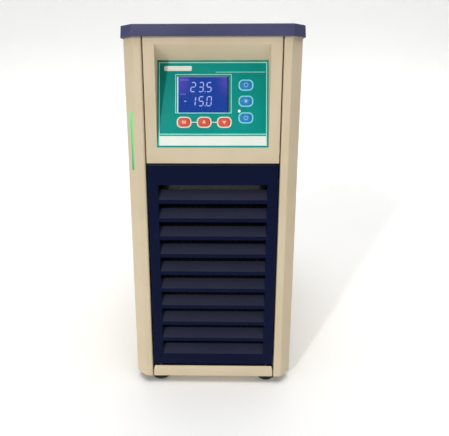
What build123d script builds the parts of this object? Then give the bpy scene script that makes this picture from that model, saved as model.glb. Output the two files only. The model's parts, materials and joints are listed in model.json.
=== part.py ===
from build123d import *
import math
import os

# A slim upright recirculating chiller for a laboratory bench. It cools water or coolant in a small
# tank and pumps it round an outside circuit. X runs to the right as one faces the front, Y runs to
# the rear and Z up. The origin is on the floor, at the centre of the whole footprint, hose tails
# included. All lengths are in millimetres and all angles in degrees.

# Cabinet
BODY_W = 225.0  # over the side panels
OVERALL_H = 497.0  # floor to the top of the lid
BODY_D = 400.0  # front plane to the outer face of the rear panel
SHEET = 1.2  # folded steel of the cabinet
BEND_R = 2.4  # outer radius of a fold
CORNER = 14.8  # leg of the 45 degree front corners
STRIP_W = 10.0  # front strip of each side panel, between corner and seam
RETURN = 12.0  # depth of the edges folded behind the front
SEAM = 1.6  # open seam round the front panels
FIT = 0.2  # clearance of a piece dropped between others
SEAT = 0.3  # gap of round pieces on their seats
PAD_W = 10.0  # height of the spacing pads that centre the front panels
PAD_D = 5.0  # depth of a spacing pad

# Lid
LID_H = 14.5
LID_T = 2.5
LID_OVERHANG = 3.3
LID_DRAFT = 4.0
LID_CORNER_R = 2.5
LID_EDGE_R = 1.5
LID_RIB = 5.0  # height of the locating ribs under the lid

# Base tray and feet
TRAY_T = 1.5
SILL_H = 16.4  # front flange of the tray, in view below the grille
SILL_NOTCH = 1.6  # the sill's upper corners are trimmed by this much
SILL_GAP = 2.8
TRAY_SHOULDER = 2.0  # the tray widens this far behind the cut corners
FOOT_H = 12.0
FOOT_R = 14.0
FOOT_TAPER = 1.5
FOOT_SIDE = 34.5  # foot centre in from the cabinet's side
FOOT_SETBACK = 20.0  # foot centre behind the front plane, and in front of the rear
FOOT_SCREW_R = 2.4
FOOT_HEAD_R = 5.0
FOOT_HEAD_H = 3.0
FOOT_POCKET = 6.5  # depth of the pocket that hides the screw head
NUT_H = 4.0

# Fascia with its recess and slanted control panel
FASCIA_H = 156.2  # visible height, bottom edge to the lid
RECESS_SIDE = 14.2  # fascia edge to the recess at both sides
RECESS_RISE = 20.1  # fascia edge to the recess
RECESS_TOP = 9.1  # recess to the lid's edge
RECESS_D = 26.4  # depth at the top of the slanted panel
CEILING_DROP = 16.7  # the recess ceiling falls this far towards the back

# Control panel, places across from the middle, and down the slope from its upper edge
OVERLAY_T = 0.5
OVERLAY_MARGIN = 0.4
WINDOW_W = 66.9
WINDOW_H = 46.9
WINDOW_X = -12.95
WINDOW_DOWN = 44.7
LENS_T = 0.9
CELL_DEPTH = 0.5  # lit face below the display's frame
LCD_RIM = 3.0  # the display's frame stands out this far round its window
KEY_W = 15.2
KEY_H = 10.6
KEY_R = 4.2
KEY_PROUD = 1.2
KEY_CLEAR = 0.25
KEY_EDGE = 0.5
KEY_FLANGE = 1.6
KEY_FLANGE_T = 1.0
KEY_TRAVEL = 0.5
KEY_STEM_R = 1.7
RIM_W = 1.6  # raised ring of the overlay round each key
RIM_H = 0.3
BLUE_X = 42.5
BLUE_DOWN = {"key_pump": 32.8, "key_cooling": 53.5, "key_power": 74.9}
RED_DOWN = 80.5
RED_X = {"key_set": -36.9, "key_up": -11.1, "key_down": 14.8}
LED_X = 34.0
LED_DOWN = 66.0
LED_R = 1.5
LED_PROUD = 0.9
BOARD_GAP = 8.2  # underside of the slanted wall to the board
BOARD_T = 1.6
BOARD_SIDE = 7.9  # board in from the recess's sides
BOARD_DOWN = 15.4  # upper edge of the board
BOARD_H = 76.0
BOARD_INSET = 5.0  # standoffs from the board's edges
STANDOFF_R = 3.0
SWITCH_W = 6.0
SWITCH_H = 4.0

# Level gauge in the left front corner
LEVEL_W = 6.0
LEVEL_H = 77.0
LEVEL_CLEAR = 8.8  # deck to the lower fitting
LEVEL_PROUD = 0.3
LEVEL_FLANGE = 1.8
LEVEL_FLANGE_T = 1.4
SIGHT_R = 4.0
SIGHT_BORE = 2.8
FITTING_H = 12.0
FITTING_D = 14.0

# Louvred grille
LOUVRE_COUNT = 10
LOUVRE_SIDE = 14.0  # grille edge to the louvres
LOUVRE_D = 7.4  # the blades lean this far back
LOUVRE_STRIP = 5.3  # flat strip below each blade
AIR_SLOT = 8.0  # clear height above each blade
GRILLE_TOP = 27.4  # plain margin above the louvres
GRILLE_BOTTOM = 17.4
GRILLE_T = 2.2
GRILLE_EDGE_R = 2.2
GRILLE_D = 14.0
GRILLE_RIB = 2.0

# Rear panel
SLOT_W = 34.0
SLOT_H = 4.0
SLOT_PITCH = 10.0
SLOT_ROWS = 8
SLOT_COLUMNS = 2
SLOT_COLUMN_PITCH = 44.0
SLOT_SIDE = 66.5  # centre of the vents in from the side
SLOT_UP = 173.0  # centre of the vents above the tray
SIDE_SLOT_ROWS = 7
SIDE_SLOT_W = 60.0
SIDE_SLOT_UP = 138.0
SIDE_SLOT_IN = 95.0  # centre of the side vents in front of the rear
SCREW_R = 1.7
SCREW_HEAD_R = 3.4
SCREW_HEAD_H = 1.8
SCREW_L = 8.0
SCREW_IN = 6.5  # rear screws from the cabinet's sides
SCREW_ROWS = 3
SCREW_END = 30.0  # first and last screw from the panel's ends

# Hose tails, drain and mains on the rear panel
TAIL_OUT = 34.0
TAIL_R = 6.0
TAIL_BORE = 4.0
BARB_ROOT = 5.1  # grooves between the barbs, whose crests are as wide as the land
BARB_END = 2.0  # plain tip beyond the last barb
BARB_COUNT = 3
TAIL_LAND = 7.0
NUT_R = 11.0
NUT_T = 5.0
SHANK_R = 8.0
INLET_SIDE = 32.0  # return tail in from the tank's side
INLET_DOWN = 52.2  # and below its rim
DRAIN_SIDE = 32.0
DRAIN_UP = 14.8  # drain above the deck
VALVE_R = 7.0
VALVE_L = 16.0
LEVER_L = 19.0  # pivot to the centre of the lever's round end
LEVER_W = 7.0
LEVER_T = 2.5
PLUG_R = 3.5
PLUG_WALL = 1.5
PLUG_RISE = 1.0  # plug housing above the valve's body
PLUG_FLOOR = 2.0
PLUG_BORE = 2.0
DRAIN_BORE = 3.0
TAIL_TIP = 1.0
SOCKET_SIDE = 40.5  # mains inlet in from the cabinet's side
SOCKET_UP = 54.0  # above the tray
SOCKET_W = 27.4
SOCKET_H = 20.0
SOCKET_D = 18.0
SOCKET_LIP = 3.0
SOCKET_WALL = 1.6
BLADE_W = 2.0
BLADE_H = 4.0
BLADE_PITCH = 7.0
ROCKER_STEP = 42.0  # mains inlet to the switch
ROCKER_W = 13.0
ROCKER_H = 19.0
ROCKER_D = 16.0
ROCKER_ANGLE = 8.0
ROCKER_LIP = 2.0
ROCKER_CREST = 3.2  # ends of the rocker above its pin
ROCKER_WAIST = 1.6
ROCKER_SKIRT = 1.5
PIN_R = 1.2
ROCKER_GAP = 1.0

# Deck and tank
DECK_DOWN = 38.3  # deck below the fascia's lower edge
DECK_IN = 45.0  # deck's front edge behind the front plane
DECK_FLANGE = 12.0
TANK_SIDE = 19.3  # tank to the side panels
TANK_D = 196.0
TANK_DOWN = 35.3  # tank's rim below the lid's edge
TANK_T = 1.0
TANK_R = 8.0
TANK_BACK = 27.0  # tank's rear wall in front of the rear panel's face
TANK_FLANGE = 6.0
NECK_R = 22.0
NECK_T = 1.5
CAP_R = 27.0
CAP_H = 12.0
CAP_EDGE = 1.5
CAP_RISE = 1.0  # neck above the lid
CAP_GRIPS = 10
CAP_GRIP_R = 2.6
SUCTION_REACH = 35.0  # suction spigot in front of the pump's cover
HOSE_R = 8.5
HOSE_BORE = 6.0
HOSE_BEND = 20.0
HOSE_CLEAR = 1.0
SPIGOT_R = 6.0
SPIGOT_BORE = 4.4
SPIGOT_L = 14.0

# Plate evaporator behind the pump
EXCHANGER_W = 76.0
EXCHANGER_HEADROOM = 25.0  # below the deck
EXCHANGER_D = 30.0
EXCHANGER_GAP = 12.0  # in front of the rear panel
EXCHANGER_PLATES = 6
PORT_X = 20.0  # ports from the middle of the plates
PORT_IN = 15.0  # ports from the plates' ends
EXCHANGER_RAISE = 22.0  # above the pump's casing
PORT_L = 12.0

# Condenser and fan behind the grille
CONDENSER_GAP = 6.0  # behind the grille
CONDENSER_SIDE = 16.3  # fin block to the side panels
CONDENSER_RAISE = 30.0  # above the tray
CONDENSER_HEADROOM = 20.0  # below the deck
CONDENSER_D = 40.0
FIN_PITCH = 9.5
FIN_GROOVE = 5.0
END_PLATE = 3.0
LINE_IN = 12.0  # refrigerant lines from the fin block's ends
SHROUD_T = 2.0
SHROUD_RING = 24.0
FAN_EDGE = 14.0  # blade tips to the shroud's nearest edge
FAN_GAP = 4.0
FAN_HUB_R = 20.0
FAN_BLADES = 5
FAN_ROOT = 26.0
FAN_TIP = 46.0
FAN_ROOT_ANGLE = 48.0
FAN_TIP_ANGLE = 22.0
FAN_BLADE_T = 2.0
FAN_HUB_L = 20.0
FAN_SHAFT_R = 3.0
FAN_MOTOR_R = 30.0
FAN_MOTOR_L = 38.0
ARM_W = 9.0
ARM_DISC_R = 24.0
ARM_T = 3.0
RUNNING = 0.05  # radial clearance of a shaft in its bearing

# Compressor
COMPRESSOR_SIDE = 6.0  # can to the left side panel
COMPRESSOR_BACK = 108.0  # centre in front of the rear panel's face
COMPRESSOR_R = 50.0
COMPRESSOR_HEADROOM = 75.0  # can to the deck
STUB_L = 4.0
STUB_WALL = 1.5
COMPRESSOR_SEAM = 3.0
EAR_X = 42.0
EAR_Y = 62.0
EAR_R = 11.0
EAR_T = 3.0
GROMMET_H = 14.0
GROMMET_R = 9.0
STUD_R = 3.0
STUD_CAP_R = 6.0
STUD_CAP_H = 5.0
LINE_R = 4.0
LIQUID_R = 2.0
LINE_CLEAR = 1.0
LINE_BEND = 16.0
DRIER_L = 62.0
DRIER_R = 10.4
DRIER_NECK = 10.0

# Circulation pump
PUMP_SIDE = 14.0  # casing to the right side panel
PUMP_RAISE = 40.5  # axis above the tray
PUMP_BACK = 164.0  # cover's outer face in front of the rear panel's face
VOLUTE_R = 27.0
VOLUTE_L = 26.0
VOLUTE_T = 3.0
PUMP_MOTOR_R = 22.0
PUMP_MOTOR_L = 84.0
IMPELLER_GAP = 3.0  # vanes to the casing
IMPELLER_T = 3.0
IMPELLER_VANES = 6
VANE_H = 8.0
VANE_T = 2.4
VANE_SWEEP = 28.0
DISC_GAP = 1.0  # impeller to the casing's back
SHAFT_R = 4.0
SHAFT_L = 22.0
PUMP_FOOT_W = 40.0
PUMP_FOOT_IN = 12.0  # foot from the motor's ends

# Electrics on the deck
POWER_BOARD_W = 90.0
POWER_BOARD_D = 50.0
POWER_BOARD_GAP = 10.0  # in front of the tank
LEG_H = 6.0
LEG_IN = 4.0
TRANSFORMER = 34.0
TRANSFORMER_H = 30.0
RELAY_W = 14.0
RELAY_D = 26.0
RELAY_H = 16.0
RELAY_COUNT = 2
RELAY_PITCH = 20.0
PART_IN = 8.0  # parts from the board's edges

# Places worked out from the sizes above
half_w = BODY_W / 2
front = LID_OVERHANG - (LID_OVERHANG + BODY_D + TAIL_OUT) / 2
rear = front + BODY_D
rear_inside = rear - SHEET
side_inside = half_w - SHEET
back_inside = rear_inside - BEND_R  # clear of the folds behind the rear panel
lid_base = OVERALL_H - LID_H
panel_top = OVERALL_H - LID_T
open_w = half_w - CORNER - STRIP_W
face_w = open_w - SEAM
recess_w = (face_w - RECESS_SIDE) * 2
louvre_w = (face_w - LOUVRE_SIDE) * 2
chamfer_mid = half_w - CORNER / 2
tray_floor = FOOT_H + TRAY_T
grille_z0 = FOOT_H + SILL_H + SILL_GAP
fascia_z0 = lid_base - FASCIA_H
grille_z1 = fascia_z0 - SEAM
recess_z0 = fascia_z0 + RECESS_RISE
recess_z1 = lid_base - RECESS_TOP
slant_rise = recess_z1 - recess_z0 - CEILING_DROP
slant_len = math.hypot(slant_rise, RECESS_D)
louvre_z0 = grille_z0 + GRILLE_BOTTOM
louvre_pitch = (grille_z1 - GRILLE_TOP - louvre_z0 + LOUVRE_STRIP) / LOUVRE_COUNT
louvre_h = louvre_pitch - LOUVRE_STRIP

deck_z = fascia_z0 - DECK_DOWN
deck_top = deck_z + SHEET
tank_w = (side_inside - TANK_SIDE) * 2
tank_rear = rear - TANK_BACK
tank_front = tank_rear - TANK_D
tank_y = (tank_front + tank_rear) / 2
tank_top = lid_base - TANK_DOWN
level_z = deck_top + LEVEL_CLEAR + FITTING_H * 1.5 + LEVEL_H / 2
level_hose_x = TANK_R + SIGHT_R - tank_w / 2
inlet_x = tank_w / 2 - INLET_SIDE
inlet_z = tank_top - INLET_DOWN
drain_x = DRAIN_SIDE - tank_w / 2
drain_z = deck_top + DRAIN_UP
valve_y = rear + NUT_T / 2 + VALVE_L / 2
socket_x = SOCKET_SIDE - half_w
socket_z = FOOT_H + SOCKET_UP
rocker_x = socket_x + ROCKER_STEP

shroud_half = side_inside - CONDENSER_SIDE + END_PLATE
air_z = (tray_floor + deck_z) / 2
fan_r = min(air_z - tray_floor, shroud_half) - FAN_EDGE
condenser_y0 = front + GRILLE_D + CONDENSER_GAP
condenser_z0 = tray_floor + CONDENSER_RAISE
condenser_z1 = deck_z - CONDENSER_HEADROOM
shroud_y0 = condenser_y0 + CONDENSER_D
fan_y0 = shroud_y0 + SHROUD_T
arm_y0 = shroud_y0 + SHROUD_RING
hub_y1 = arm_y0 - FAN_GAP / 2

pump_x = side_inside - PUMP_SIDE - VOLUTE_R
pump_y = rear - PUMP_BACK
pump_z = tray_floor + PUMP_RAISE
suction_y = pump_y - SUCTION_REACH
tail_x = pump_x + VOLUTE_R - HOSE_R - VOLUTE_T
outlet_top = pump_z + math.sqrt(VOLUTE_R ** 2 - (tail_x - HOSE_R - pump_x) ** 2) + HOSE_CLEAR
exchanger_x = tail_x - PORT_X
exchanger_y1 = rear_inside - EXCHANGER_GAP
exchanger_y0 = exchanger_y1 - EXCHANGER_D
exchanger_z0 = pump_z + VOLUTE_R + EXCHANGER_RAISE
exchanger_z1 = deck_z - EXCHANGER_HEADROOM
feed_z = exchanger_z0 + PORT_IN
outlet_z = exchanger_z1 - PORT_IN
line_x = exchanger_x - PORT_X

compressor_x = COMPRESSOR_SIDE + COMPRESSOR_SEAM + COMPRESSOR_R - side_inside
compressor_y = rear - COMPRESSOR_BACK
ear_z = tray_floor + GROMMET_H
can_top = deck_z - COMPRESSOR_HEADROOM
stub_top = can_top + STUB_L
discharge_x = compressor_x - COMPRESSOR_R / 3
suction_x = compressor_x + COMPRESSOR_R / 3
discharge_z = condenser_z1 - LINE_IN
liquid_z = condenser_z0 + LINE_IN
drier_y0 = fan_y0 + LINE_BEND
drier_y1 = drier_y0 + DRIER_L

# Working planes: Y of each runs upwards or along the slope, Z points out of the face
slant = Plane((0, front, recess_z0), x_dir=(1, 0, 0),
              z_dir=(0, -slant_rise / slant_len, RECESS_D / slant_len))
level_face = Plane((-chamfer_mid, front + CORNER / 2, level_z), x_dir=(1, -1, 0), z_dir=(-1, -1, 0))
back_face = Plane((0, rear, 0), x_dir=(-1, 0, 0), z_dir=(0, 1, 0))


def block(x0, x1, y0, y1, z0, z1):
    """Box between two corners."""
    return Pos((x0 + x1) / 2, (y0 + y1) / 2, (z0 + z1) / 2) * Box(x1 - x0, y1 - y0, z1 - z0)


def post(x, y, z, radius, height):
    """Upright cylinder standing on z."""
    return Pos(x, y, z + height / 2) * Cylinder(radius, height)


def shaft(x, y, z, radius, length):
    """Cylinder along Y, from y towards the rear."""
    return Pos(x, y + length / 2, z) * Rot(90, 0, 0) * Cylinder(radius, length)


def turned(*profile):
    """Solid of revolution about Z from (radius, height) points."""
    return revolve(Plane.XZ * make_face(Polyline(*profile, close=True)), Axis.Z)


def to_rear(x, y, z):
    """Location that turns a piece made along Z to point to the rear."""
    return Plane((x, y, z), x_dir=(-1, 0, 0), z_dir=(0, 1, 0)).location


def tube(points, bend, radius, bore=0.0):
    """Round tube along straight runs joined by arcs of one radius."""
    path = FilletPolyline(*points, radius=bend)
    start = Plane(path @ 0, z_dir=path % 0)
    solid = sweep(start * Circle(radius), path=path)
    if bore:
        solid -= sweep(start * Circle(bore), path=path)
    return solid


def cabinet_plan(half, y_front, y_rear, corner):
    """Plan outline of the cabinet with both front corners cut at 45 degrees."""
    return make_face(Polyline(
        (-half, y_rear), (-half, y_front + corner), (-half + corner, y_front),
        (half - corner, y_front), (half, y_front + corner), (half, y_rear), close=True))


def vent_rows(count, pitch, width, height):
    """Flat pattern of round-ended slots, one above the other."""
    rise = (count - 1) * pitch
    return [Pos(0, pitch * row - rise / 2) * SlotOverall(width, height) for row in range(count)]


def key_places():
    """Name, place across and place up the slope of each key."""
    blue = [(name, BLUE_X, slant_len - down) for name, down in BLUE_DOWN.items()]
    return blue + [(name, x, slant_len - RED_DOWN) for name, x in RED_X.items()]


def window_place(rise):
    """Centre of the display window, at a height over the slanted wall."""
    return slant * Pos(WINDOW_X, slant_len - WINDOW_DOWN, rise)


def lamp_place(rise):
    """Centre of the lamp, at a height over the slanted wall."""
    return slant * Pos(LED_X, slant_len - LED_DOWN, rise)


# Sheet metal and mouldings of the cabinet
def side_panel():
    """Left side: one sheet folded round the cut corner, with a level window and air vents."""
    outline = FilletPolyline(
        (-half_w + SCREW_IN * 2, rear_inside), (-half_w, rear_inside), (-half_w, front + CORNER),
        (-half_w + CORNER, front), (-open_w, front), (-open_w, front + RETURN), radius=BEND_R)
    section = make_face(offset(outline, amount=SHEET, side=Side.LEFT))
    panel = Pos(0, 0, FOOT_H) * extrude(section, panel_top - FOOT_H)
    vents = Plane((-half_w, rear - SIDE_SLOT_IN, FOOT_H + SIDE_SLOT_UP), x_dir=(0, -1, 0), z_dir=(-1, 0, 0))
    for slot in vent_rows(SIDE_SLOT_ROWS, SLOT_PITCH, SIDE_SLOT_W, SLOT_H):
        panel -= extrude(vents * slot, SHEET * 2, both=True)
    for _, z in rear_screw_places(1):
        panel -= shaft(-half_w + SCREW_IN, rear_inside - SHEET * 2, z, SCREW_R, SHEET * 3)
    return panel


def left_side_panel():
    window = SlotOverall(LEVEL_H + FIT * 2, LEVEL_W + FIT * 2, rotation=90)
    return side_panel() - extrude(level_face * window, SHEET * 2, both=True)


def right_side_panel():
    return mirror(side_panel(), Plane.YZ)


def base_tray():
    """Shallow pan between the side panels, whose front flange shows as the sill."""
    wide = side_inside - FIT
    shoulder = front + CORNER + TRAY_SHOULDER
    tray = block(-wide, wide, shoulder, back_inside, FOOT_H, tray_floor)
    tray += block(-face_w, face_w, front, shoulder, FOOT_H, tray_floor)
    for x in (-wide, wide - TRAY_T):
        tray += block(x, x + TRAY_T, shoulder, back_inside, FOOT_H, FOOT_H + SILL_H)
    tray += block(-wide, wide, back_inside - TRAY_T, back_inside, FOOT_H, FOOT_H + SILL_H)
    top = FOOT_H + SILL_H
    sill = make_face(Polyline(
        (-face_w, FOOT_H), (face_w, FOOT_H), (face_w, top - SILL_NOTCH * 4),
        (face_w - SILL_NOTCH, top), (SILL_NOTCH - face_w, top), (-face_w, top - SILL_NOTCH * 4),
        close=True))
    tray += extrude(Plane((0, front, 0), x_dir=(1, 0, 0), z_dir=(0, -1, 0)) * sill, -TRAY_T)
    for x, y in foot_places():
        tray -= post(x, y, FOOT_H, FOOT_SCREW_R + FIT, TRAY_T)
    return tray


def foot_places():
    x = half_w - FOOT_SIDE
    ends = (front + FOOT_SETBACK, rear - FOOT_SETBACK)
    return [(side * x, y) for y in ends for side in (-1, 1)]


def rubber_feet():
    """Four tapered rubber feet, each with a pocket for its screw head."""
    foot = turned(
        (FOOT_SCREW_R + FIT, FOOT_H), (FOOT_R, FOOT_H), (FOOT_R, FOOT_H / 2),
        (FOOT_R - FOOT_TAPER, FOOT_TAPER), (FOOT_R - FOOT_TAPER * 2, 0),
        (FOOT_HEAD_R + FIT, 0), (FOOT_HEAD_R + FIT, FOOT_POCKET), (FOOT_SCREW_R + FIT, FOOT_POCKET))
    return Compound(children=[Pos(x, y, 0) * foot for x, y in foot_places()])


def foot_screws():
    """Screws up through the feet, each with its nut inside the tray."""
    pieces = []
    for x, y in foot_places():
        screw = post(x, y, FOOT_POCKET - FOOT_HEAD_H, FOOT_HEAD_R, FOOT_HEAD_H)
        screw += post(x, y, FOOT_POCKET, FOOT_SCREW_R, tray_floor + NUT_H * 1.5 - FOOT_POCKET)
        nut = extrude(Pos(x, y, tray_floor) * RegularPolygon(FOOT_HEAD_R, 6), NUT_H)
        pieces += [screw, nut - post(x, y, tray_floor, FOOT_SCREW_R, NUT_H)]
    return Compound(children=pieces)


def rear_screw_places(side):
    """Places of the rear panel's screws down one side."""
    low, high = FOOT_H + SCREW_END, panel_top - SCREW_END
    step = (high - low) / (SCREW_ROWS - 1)
    return [(side * (half_w - SCREW_IN), low + step * row) for row in range(SCREW_ROWS)]


def rear_panel():
    """Flat rear sheet with its air vents and the holes for everything that it carries."""
    panel = block(-half_w, half_w, rear_inside, rear, FOOT_H, panel_top)
    panel = fillet(panel.edges().filter_by(Axis.Y), BEND_R)
    for column in range(SLOT_COLUMNS):
        x = SLOT_SIDE - half_w + SLOT_COLUMN_PITCH * (column - (SLOT_COLUMNS - 1) / 2)
        for slot in vent_rows(SLOT_ROWS, SLOT_PITCH, SLOT_W, SLOT_H):
            panel -= extrude(back_face * Pos(-x, FOOT_H + SLOT_UP) * slot, SHEET * 2, both=True)
    holes = [(x, z, SCREW_R) for side in (-1, 1) for x, z in rear_screw_places(side)]
    holes += [(tail_x, outlet_z, SHANK_R), (inlet_x, inlet_z, SHANK_R), (drain_x, drain_z, SHANK_R)]
    for x, z, radius in holes:
        panel -= shaft(x, rear_inside - SHEET, z, radius + FIT, SHEET * 3)
    for x, width, height in ((socket_x, SOCKET_W, SOCKET_H), (rocker_x, ROCKER_W, ROCKER_H)):
        hole = Rectangle(width + FIT * 2, height + FIT * 2)
        panel -= extrude(back_face * Pos(-x, socket_z) * hole, SHEET * 2, both=True)
    return panel


def rear_screws():
    pieces = []
    for side in (-1, 1):
        for x, z in rear_screw_places(side):
            head = turned((0, 0), (SCREW_HEAD_R, 0), (SCREW_HEAD_R * 0.8, SCREW_HEAD_H), (0, SCREW_HEAD_H))
            pieces.append(to_rear(x, rear, z) * head + shaft(x, rear - SCREW_L, z, SCREW_R, SCREW_L))
    return Compound(children=pieces)


def spacing_pads(z_list):
    """Pads on both edges of a front panel that keep its seams even."""
    pads = [block(face_w - SHEET, open_w - FIT, front + RETURN - PAD_D, front + RETURN, z, z + PAD_W)
            for z in z_list]
    return pads + [mirror(pad, Plane.YZ) for pad in pads]


def recess_profile():
    """Side view of the recess: slanted panel, ceiling and the open front."""
    return make_face(Polyline(
        (front, recess_z0), (front + RECESS_D, recess_z0 + slant_rise), (front, recess_z1),
        close=True))


def front_fascia():
    """Folded front sheet with a pressed recess whose back is the slanted control panel."""
    sheet = block(-face_w, face_w, front, front + RETURN, fascia_z0, panel_top)
    visible = sheet.faces().sort_by(Axis.Y)[0].edges()
    sheet = fillet(visible.filter_by(Axis.Z), BEND_R / 2)
    sheet -= block(SHEET - face_w, face_w - SHEET, front + SHEET, front + RETURN * 2,
                   fascia_z0 + SHEET, panel_top)
    sheet += spacing_pads((fascia_z0 + PAD_W, lid_base - PAD_W * 2))
    profile = Plane.YZ * recess_profile()
    shell = Plane.YZ * offset(recess_profile(), SHEET, kind=Kind.INTERSECTION)
    sheet += extrude(shell, recess_w / 2 + SHEET, both=True) & block(
        -half_w, half_w, front, rear, fascia_z0, panel_top)
    sheet -= extrude(profile, recess_w / 2, both=True)
    for _, x, s in key_places():
        hole = RectangleRounded(KEY_W + KEY_CLEAR * 2, KEY_H + KEY_CLEAR * 2, KEY_R + KEY_CLEAR)
        sheet -= slant * Pos(x, s, -SHEET * 2) * extrude(hole, SHEET * 4)
    sheet -= window_place(0) * Box(WINDOW_W, WINDOW_H, SHEET * 4)
    return sheet - lamp_place(0) * Cylinder(LED_R + FIT, SHEET * 4)


def louvre():
    """Section of one sloping blade, from the lower edge of its window up and back."""
    rise = louvre_h - AIR_SLOT
    return make_face(Polyline(
        (front, 0), (front + LOUVRE_D, rise), (front + LOUVRE_D + GRILLE_T, rise),
        (front + GRILLE_T, 0), close=True))


def front_grille():
    """Moulded grille: one row of windows, each with a blade that slopes up and back."""
    panel = block(-face_w, face_w, front, front + GRILLE_D, grille_z0, grille_z1)
    panel = fillet(panel.faces().sort_by(Axis.Y)[0].edges(), GRILLE_EDGE_R)
    panel -= block(GRILLE_T - face_w, face_w - GRILLE_T, front + GRILLE_T, front + GRILLE_D,
                   grille_z0 + GRILLE_T, grille_z1 - GRILLE_T)
    blade = extrude(Plane.YZ * louvre(), louvre_w / 2, both=True)
    span = louvre_pitch * LOUVRE_COUNT - LOUVRE_STRIP
    for x in (-louvre_w / 2 - GRILLE_RIB, louvre_w / 2):
        panel += block(x, x + GRILLE_RIB, front + GRILLE_T / 2, front + LOUVRE_D + GRILLE_T,
                       louvre_z0, louvre_z0 + span)
    for row in range(LOUVRE_COUNT):
        z = louvre_z0 + louvre_pitch * row
        panel -= block(-louvre_w / 2, louvre_w / 2, front, front + GRILLE_T, z, z + louvre_h)
        panel += Pos(0, 0, z) * blade
    return panel + spacing_pads((grille_z0 + PAD_W, grille_z1 - PAD_W * 2))


def top_cover():
    """Moulded lid with drafted sides, soft corners and ribs that locate it inside the panels."""
    grow = LID_OVERHANG
    lid = extrude(Pos(0, 0, lid_base) * cabinet_plan(
        half_w + grow, front - grow, rear + grow, CORNER + grow * 0.6), LID_H, taper=LID_DRAFT)
    lid = fillet(lid.edges().filter_by(lambda edge: abs((edge % 0.5).Z) > 0.9), LID_CORNER_R)
    lid = fillet(lid.edges().group_by(Axis.Z)[-1], LID_EDGE_R)
    inside = grow - LID_T
    lid -= extrude(Pos(0, 0, lid_base) * cabinet_plan(
        half_w + inside, front - inside, rear + inside, CORNER + inside * 0.6), LID_H - LID_T)
    for y in (tank_rear + LID_RIB, front + RECESS_D + RETURN * 2):
        lid += block(-side_inside + RETURN, side_inside - RETURN, y, y + LID_T,
                     panel_top - LID_RIB, panel_top)
    return lid - post(0, tank_y, lid_base, NECK_R + FIT * 2, LID_H * 2)


def filler_cap():
    """Lift-off cap: a plug in the filler neck under a gripped head."""
    neck_top = OVERALL_H + CAP_RISE
    cap = post(0, tank_y, neck_top, CAP_R, CAP_H)
    cap = chamfer(cap.edges().group_by(Axis.Z)[-1], CAP_EDGE)
    for index in range(CAP_GRIPS):
        turn = Rot(0, 0, 360 / CAP_GRIPS * index)
        cap -= Pos(0, tank_y, 0) * turn * post(CAP_R + 1, 0, neck_top, CAP_GRIP_R, CAP_H)
    plug = turned((NECK_R - NECK_T - FIT - LID_T, 0), (NECK_R - NECK_T - FIT, 0),
                  (NECK_R - NECK_T - FIT, CAP_H), (NECK_R - NECK_T - FIT - LID_T, CAP_H))
    return cap + Pos(0, tank_y, neck_top - CAP_H) * plug


# Control panel
def control_overlay():
    """Printed cover sheet of the slanted panel, embossed round each key."""
    width = recess_w - OVERLAY_MARGIN * 2
    height = slant_len - OVERLAY_MARGIN * 2 - OVERLAY_T
    sheet = slant * Pos(0, slant_len / 2, OVERLAY_T / 2) * Box(width, height, OVERLAY_T)
    for _, x, s in key_places():
        rim = RectangleRounded(KEY_W + RIM_W * 2 + KEY_CLEAR, KEY_H + RIM_W * 2 + KEY_CLEAR, KEY_R + RIM_W)
        hole = RectangleRounded(KEY_W + KEY_CLEAR * 2, KEY_H + KEY_CLEAR * 2, KEY_R + KEY_CLEAR)
        sheet += slant * Pos(x, s, 0) * extrude(rim, OVERLAY_T + RIM_H)
        sheet -= slant * Pos(x, s, -OVERLAY_T) * extrude(hole, OVERLAY_T * 4)
    sheet -= window_place(0) * Box(WINDOW_W, WINDOW_H, OVERLAY_T * 4)
    return sheet - lamp_place(0) * Cylinder(LED_R + FIT, OVERLAY_T * 4)


def lcd_window():
    """Clear lens let into the slanted wall."""
    return window_place(LENS_T / 2 - SHEET) * Box(WINDOW_W - FIT * 2, WINDOW_H - FIT * 2, LENS_T)


def lcd_module():
    """Display behind the window, held between the slanted wall and the board."""
    frame = Box(WINDOW_W + LCD_RIM * 2, WINDOW_H + LCD_RIM * 2, BOARD_GAP - SHEET)
    cell = Pos(0, 0, BOARD_GAP / 2) * Box(WINDOW_W, WINDOW_H, BOARD_GAP - SHEET)
    return window_place(-(SHEET + BOARD_GAP) / 2) * (frame - Pos(0, 0, -CELL_DEPTH) * cell)


def board_corners():
    """Standoff places at the control board's corners."""
    x = recess_w / 2 - BOARD_SIDE - BOARD_INSET
    high = slant_len - BOARD_DOWN - BOARD_INSET
    low = high + BOARD_INSET * 2 - BOARD_H
    return [(side * x, s) for side in (-1, 1) for s in (low, high)]


def control_board():
    centre = Pos(0, slant_len - BOARD_DOWN - BOARD_H / 2, -BOARD_GAP - BOARD_T / 2)
    board = slant * centre * Box(recess_w - BOARD_SIDE * 2, BOARD_H, BOARD_T)
    for x, s in board_corners():
        board -= slant * Pos(x, s, -BOARD_GAP) * Cylinder(SCREW_R + FIT, BOARD_T * 4)
    return board


def board_standoffs():
    """Spacers between the slanted wall and the board, with a screw end through the board."""
    pieces = []
    for x, s in board_corners():
        gap = BOARD_GAP - SHEET
        spacer = Pos(x, s, -SHEET - gap / 2) * Cylinder(STANDOFF_R, gap)
        end = Pos(x, s, -BOARD_GAP - BOARD_T) * Cylinder(SCREW_R, BOARD_T * 2)
        pieces.append(slant * (spacer + end))
    return Compound(children=pieces)


def tact_switches():
    """Switch under each key, with the well that the key's stem presses into."""
    pieces = []
    for _, x, s in key_places():
        body = Pos(x, s, -BOARD_GAP + SWITCH_H / 2) * Box(SWITCH_W, SWITCH_W, SWITCH_H)
        well = Pos(x, s, -BOARD_GAP + SWITCH_H) * Cylinder(KEY_STEM_R + FIT, SWITCH_H)
        pieces.append(slant * (body - well))
    return Compound(children=pieces)


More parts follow.
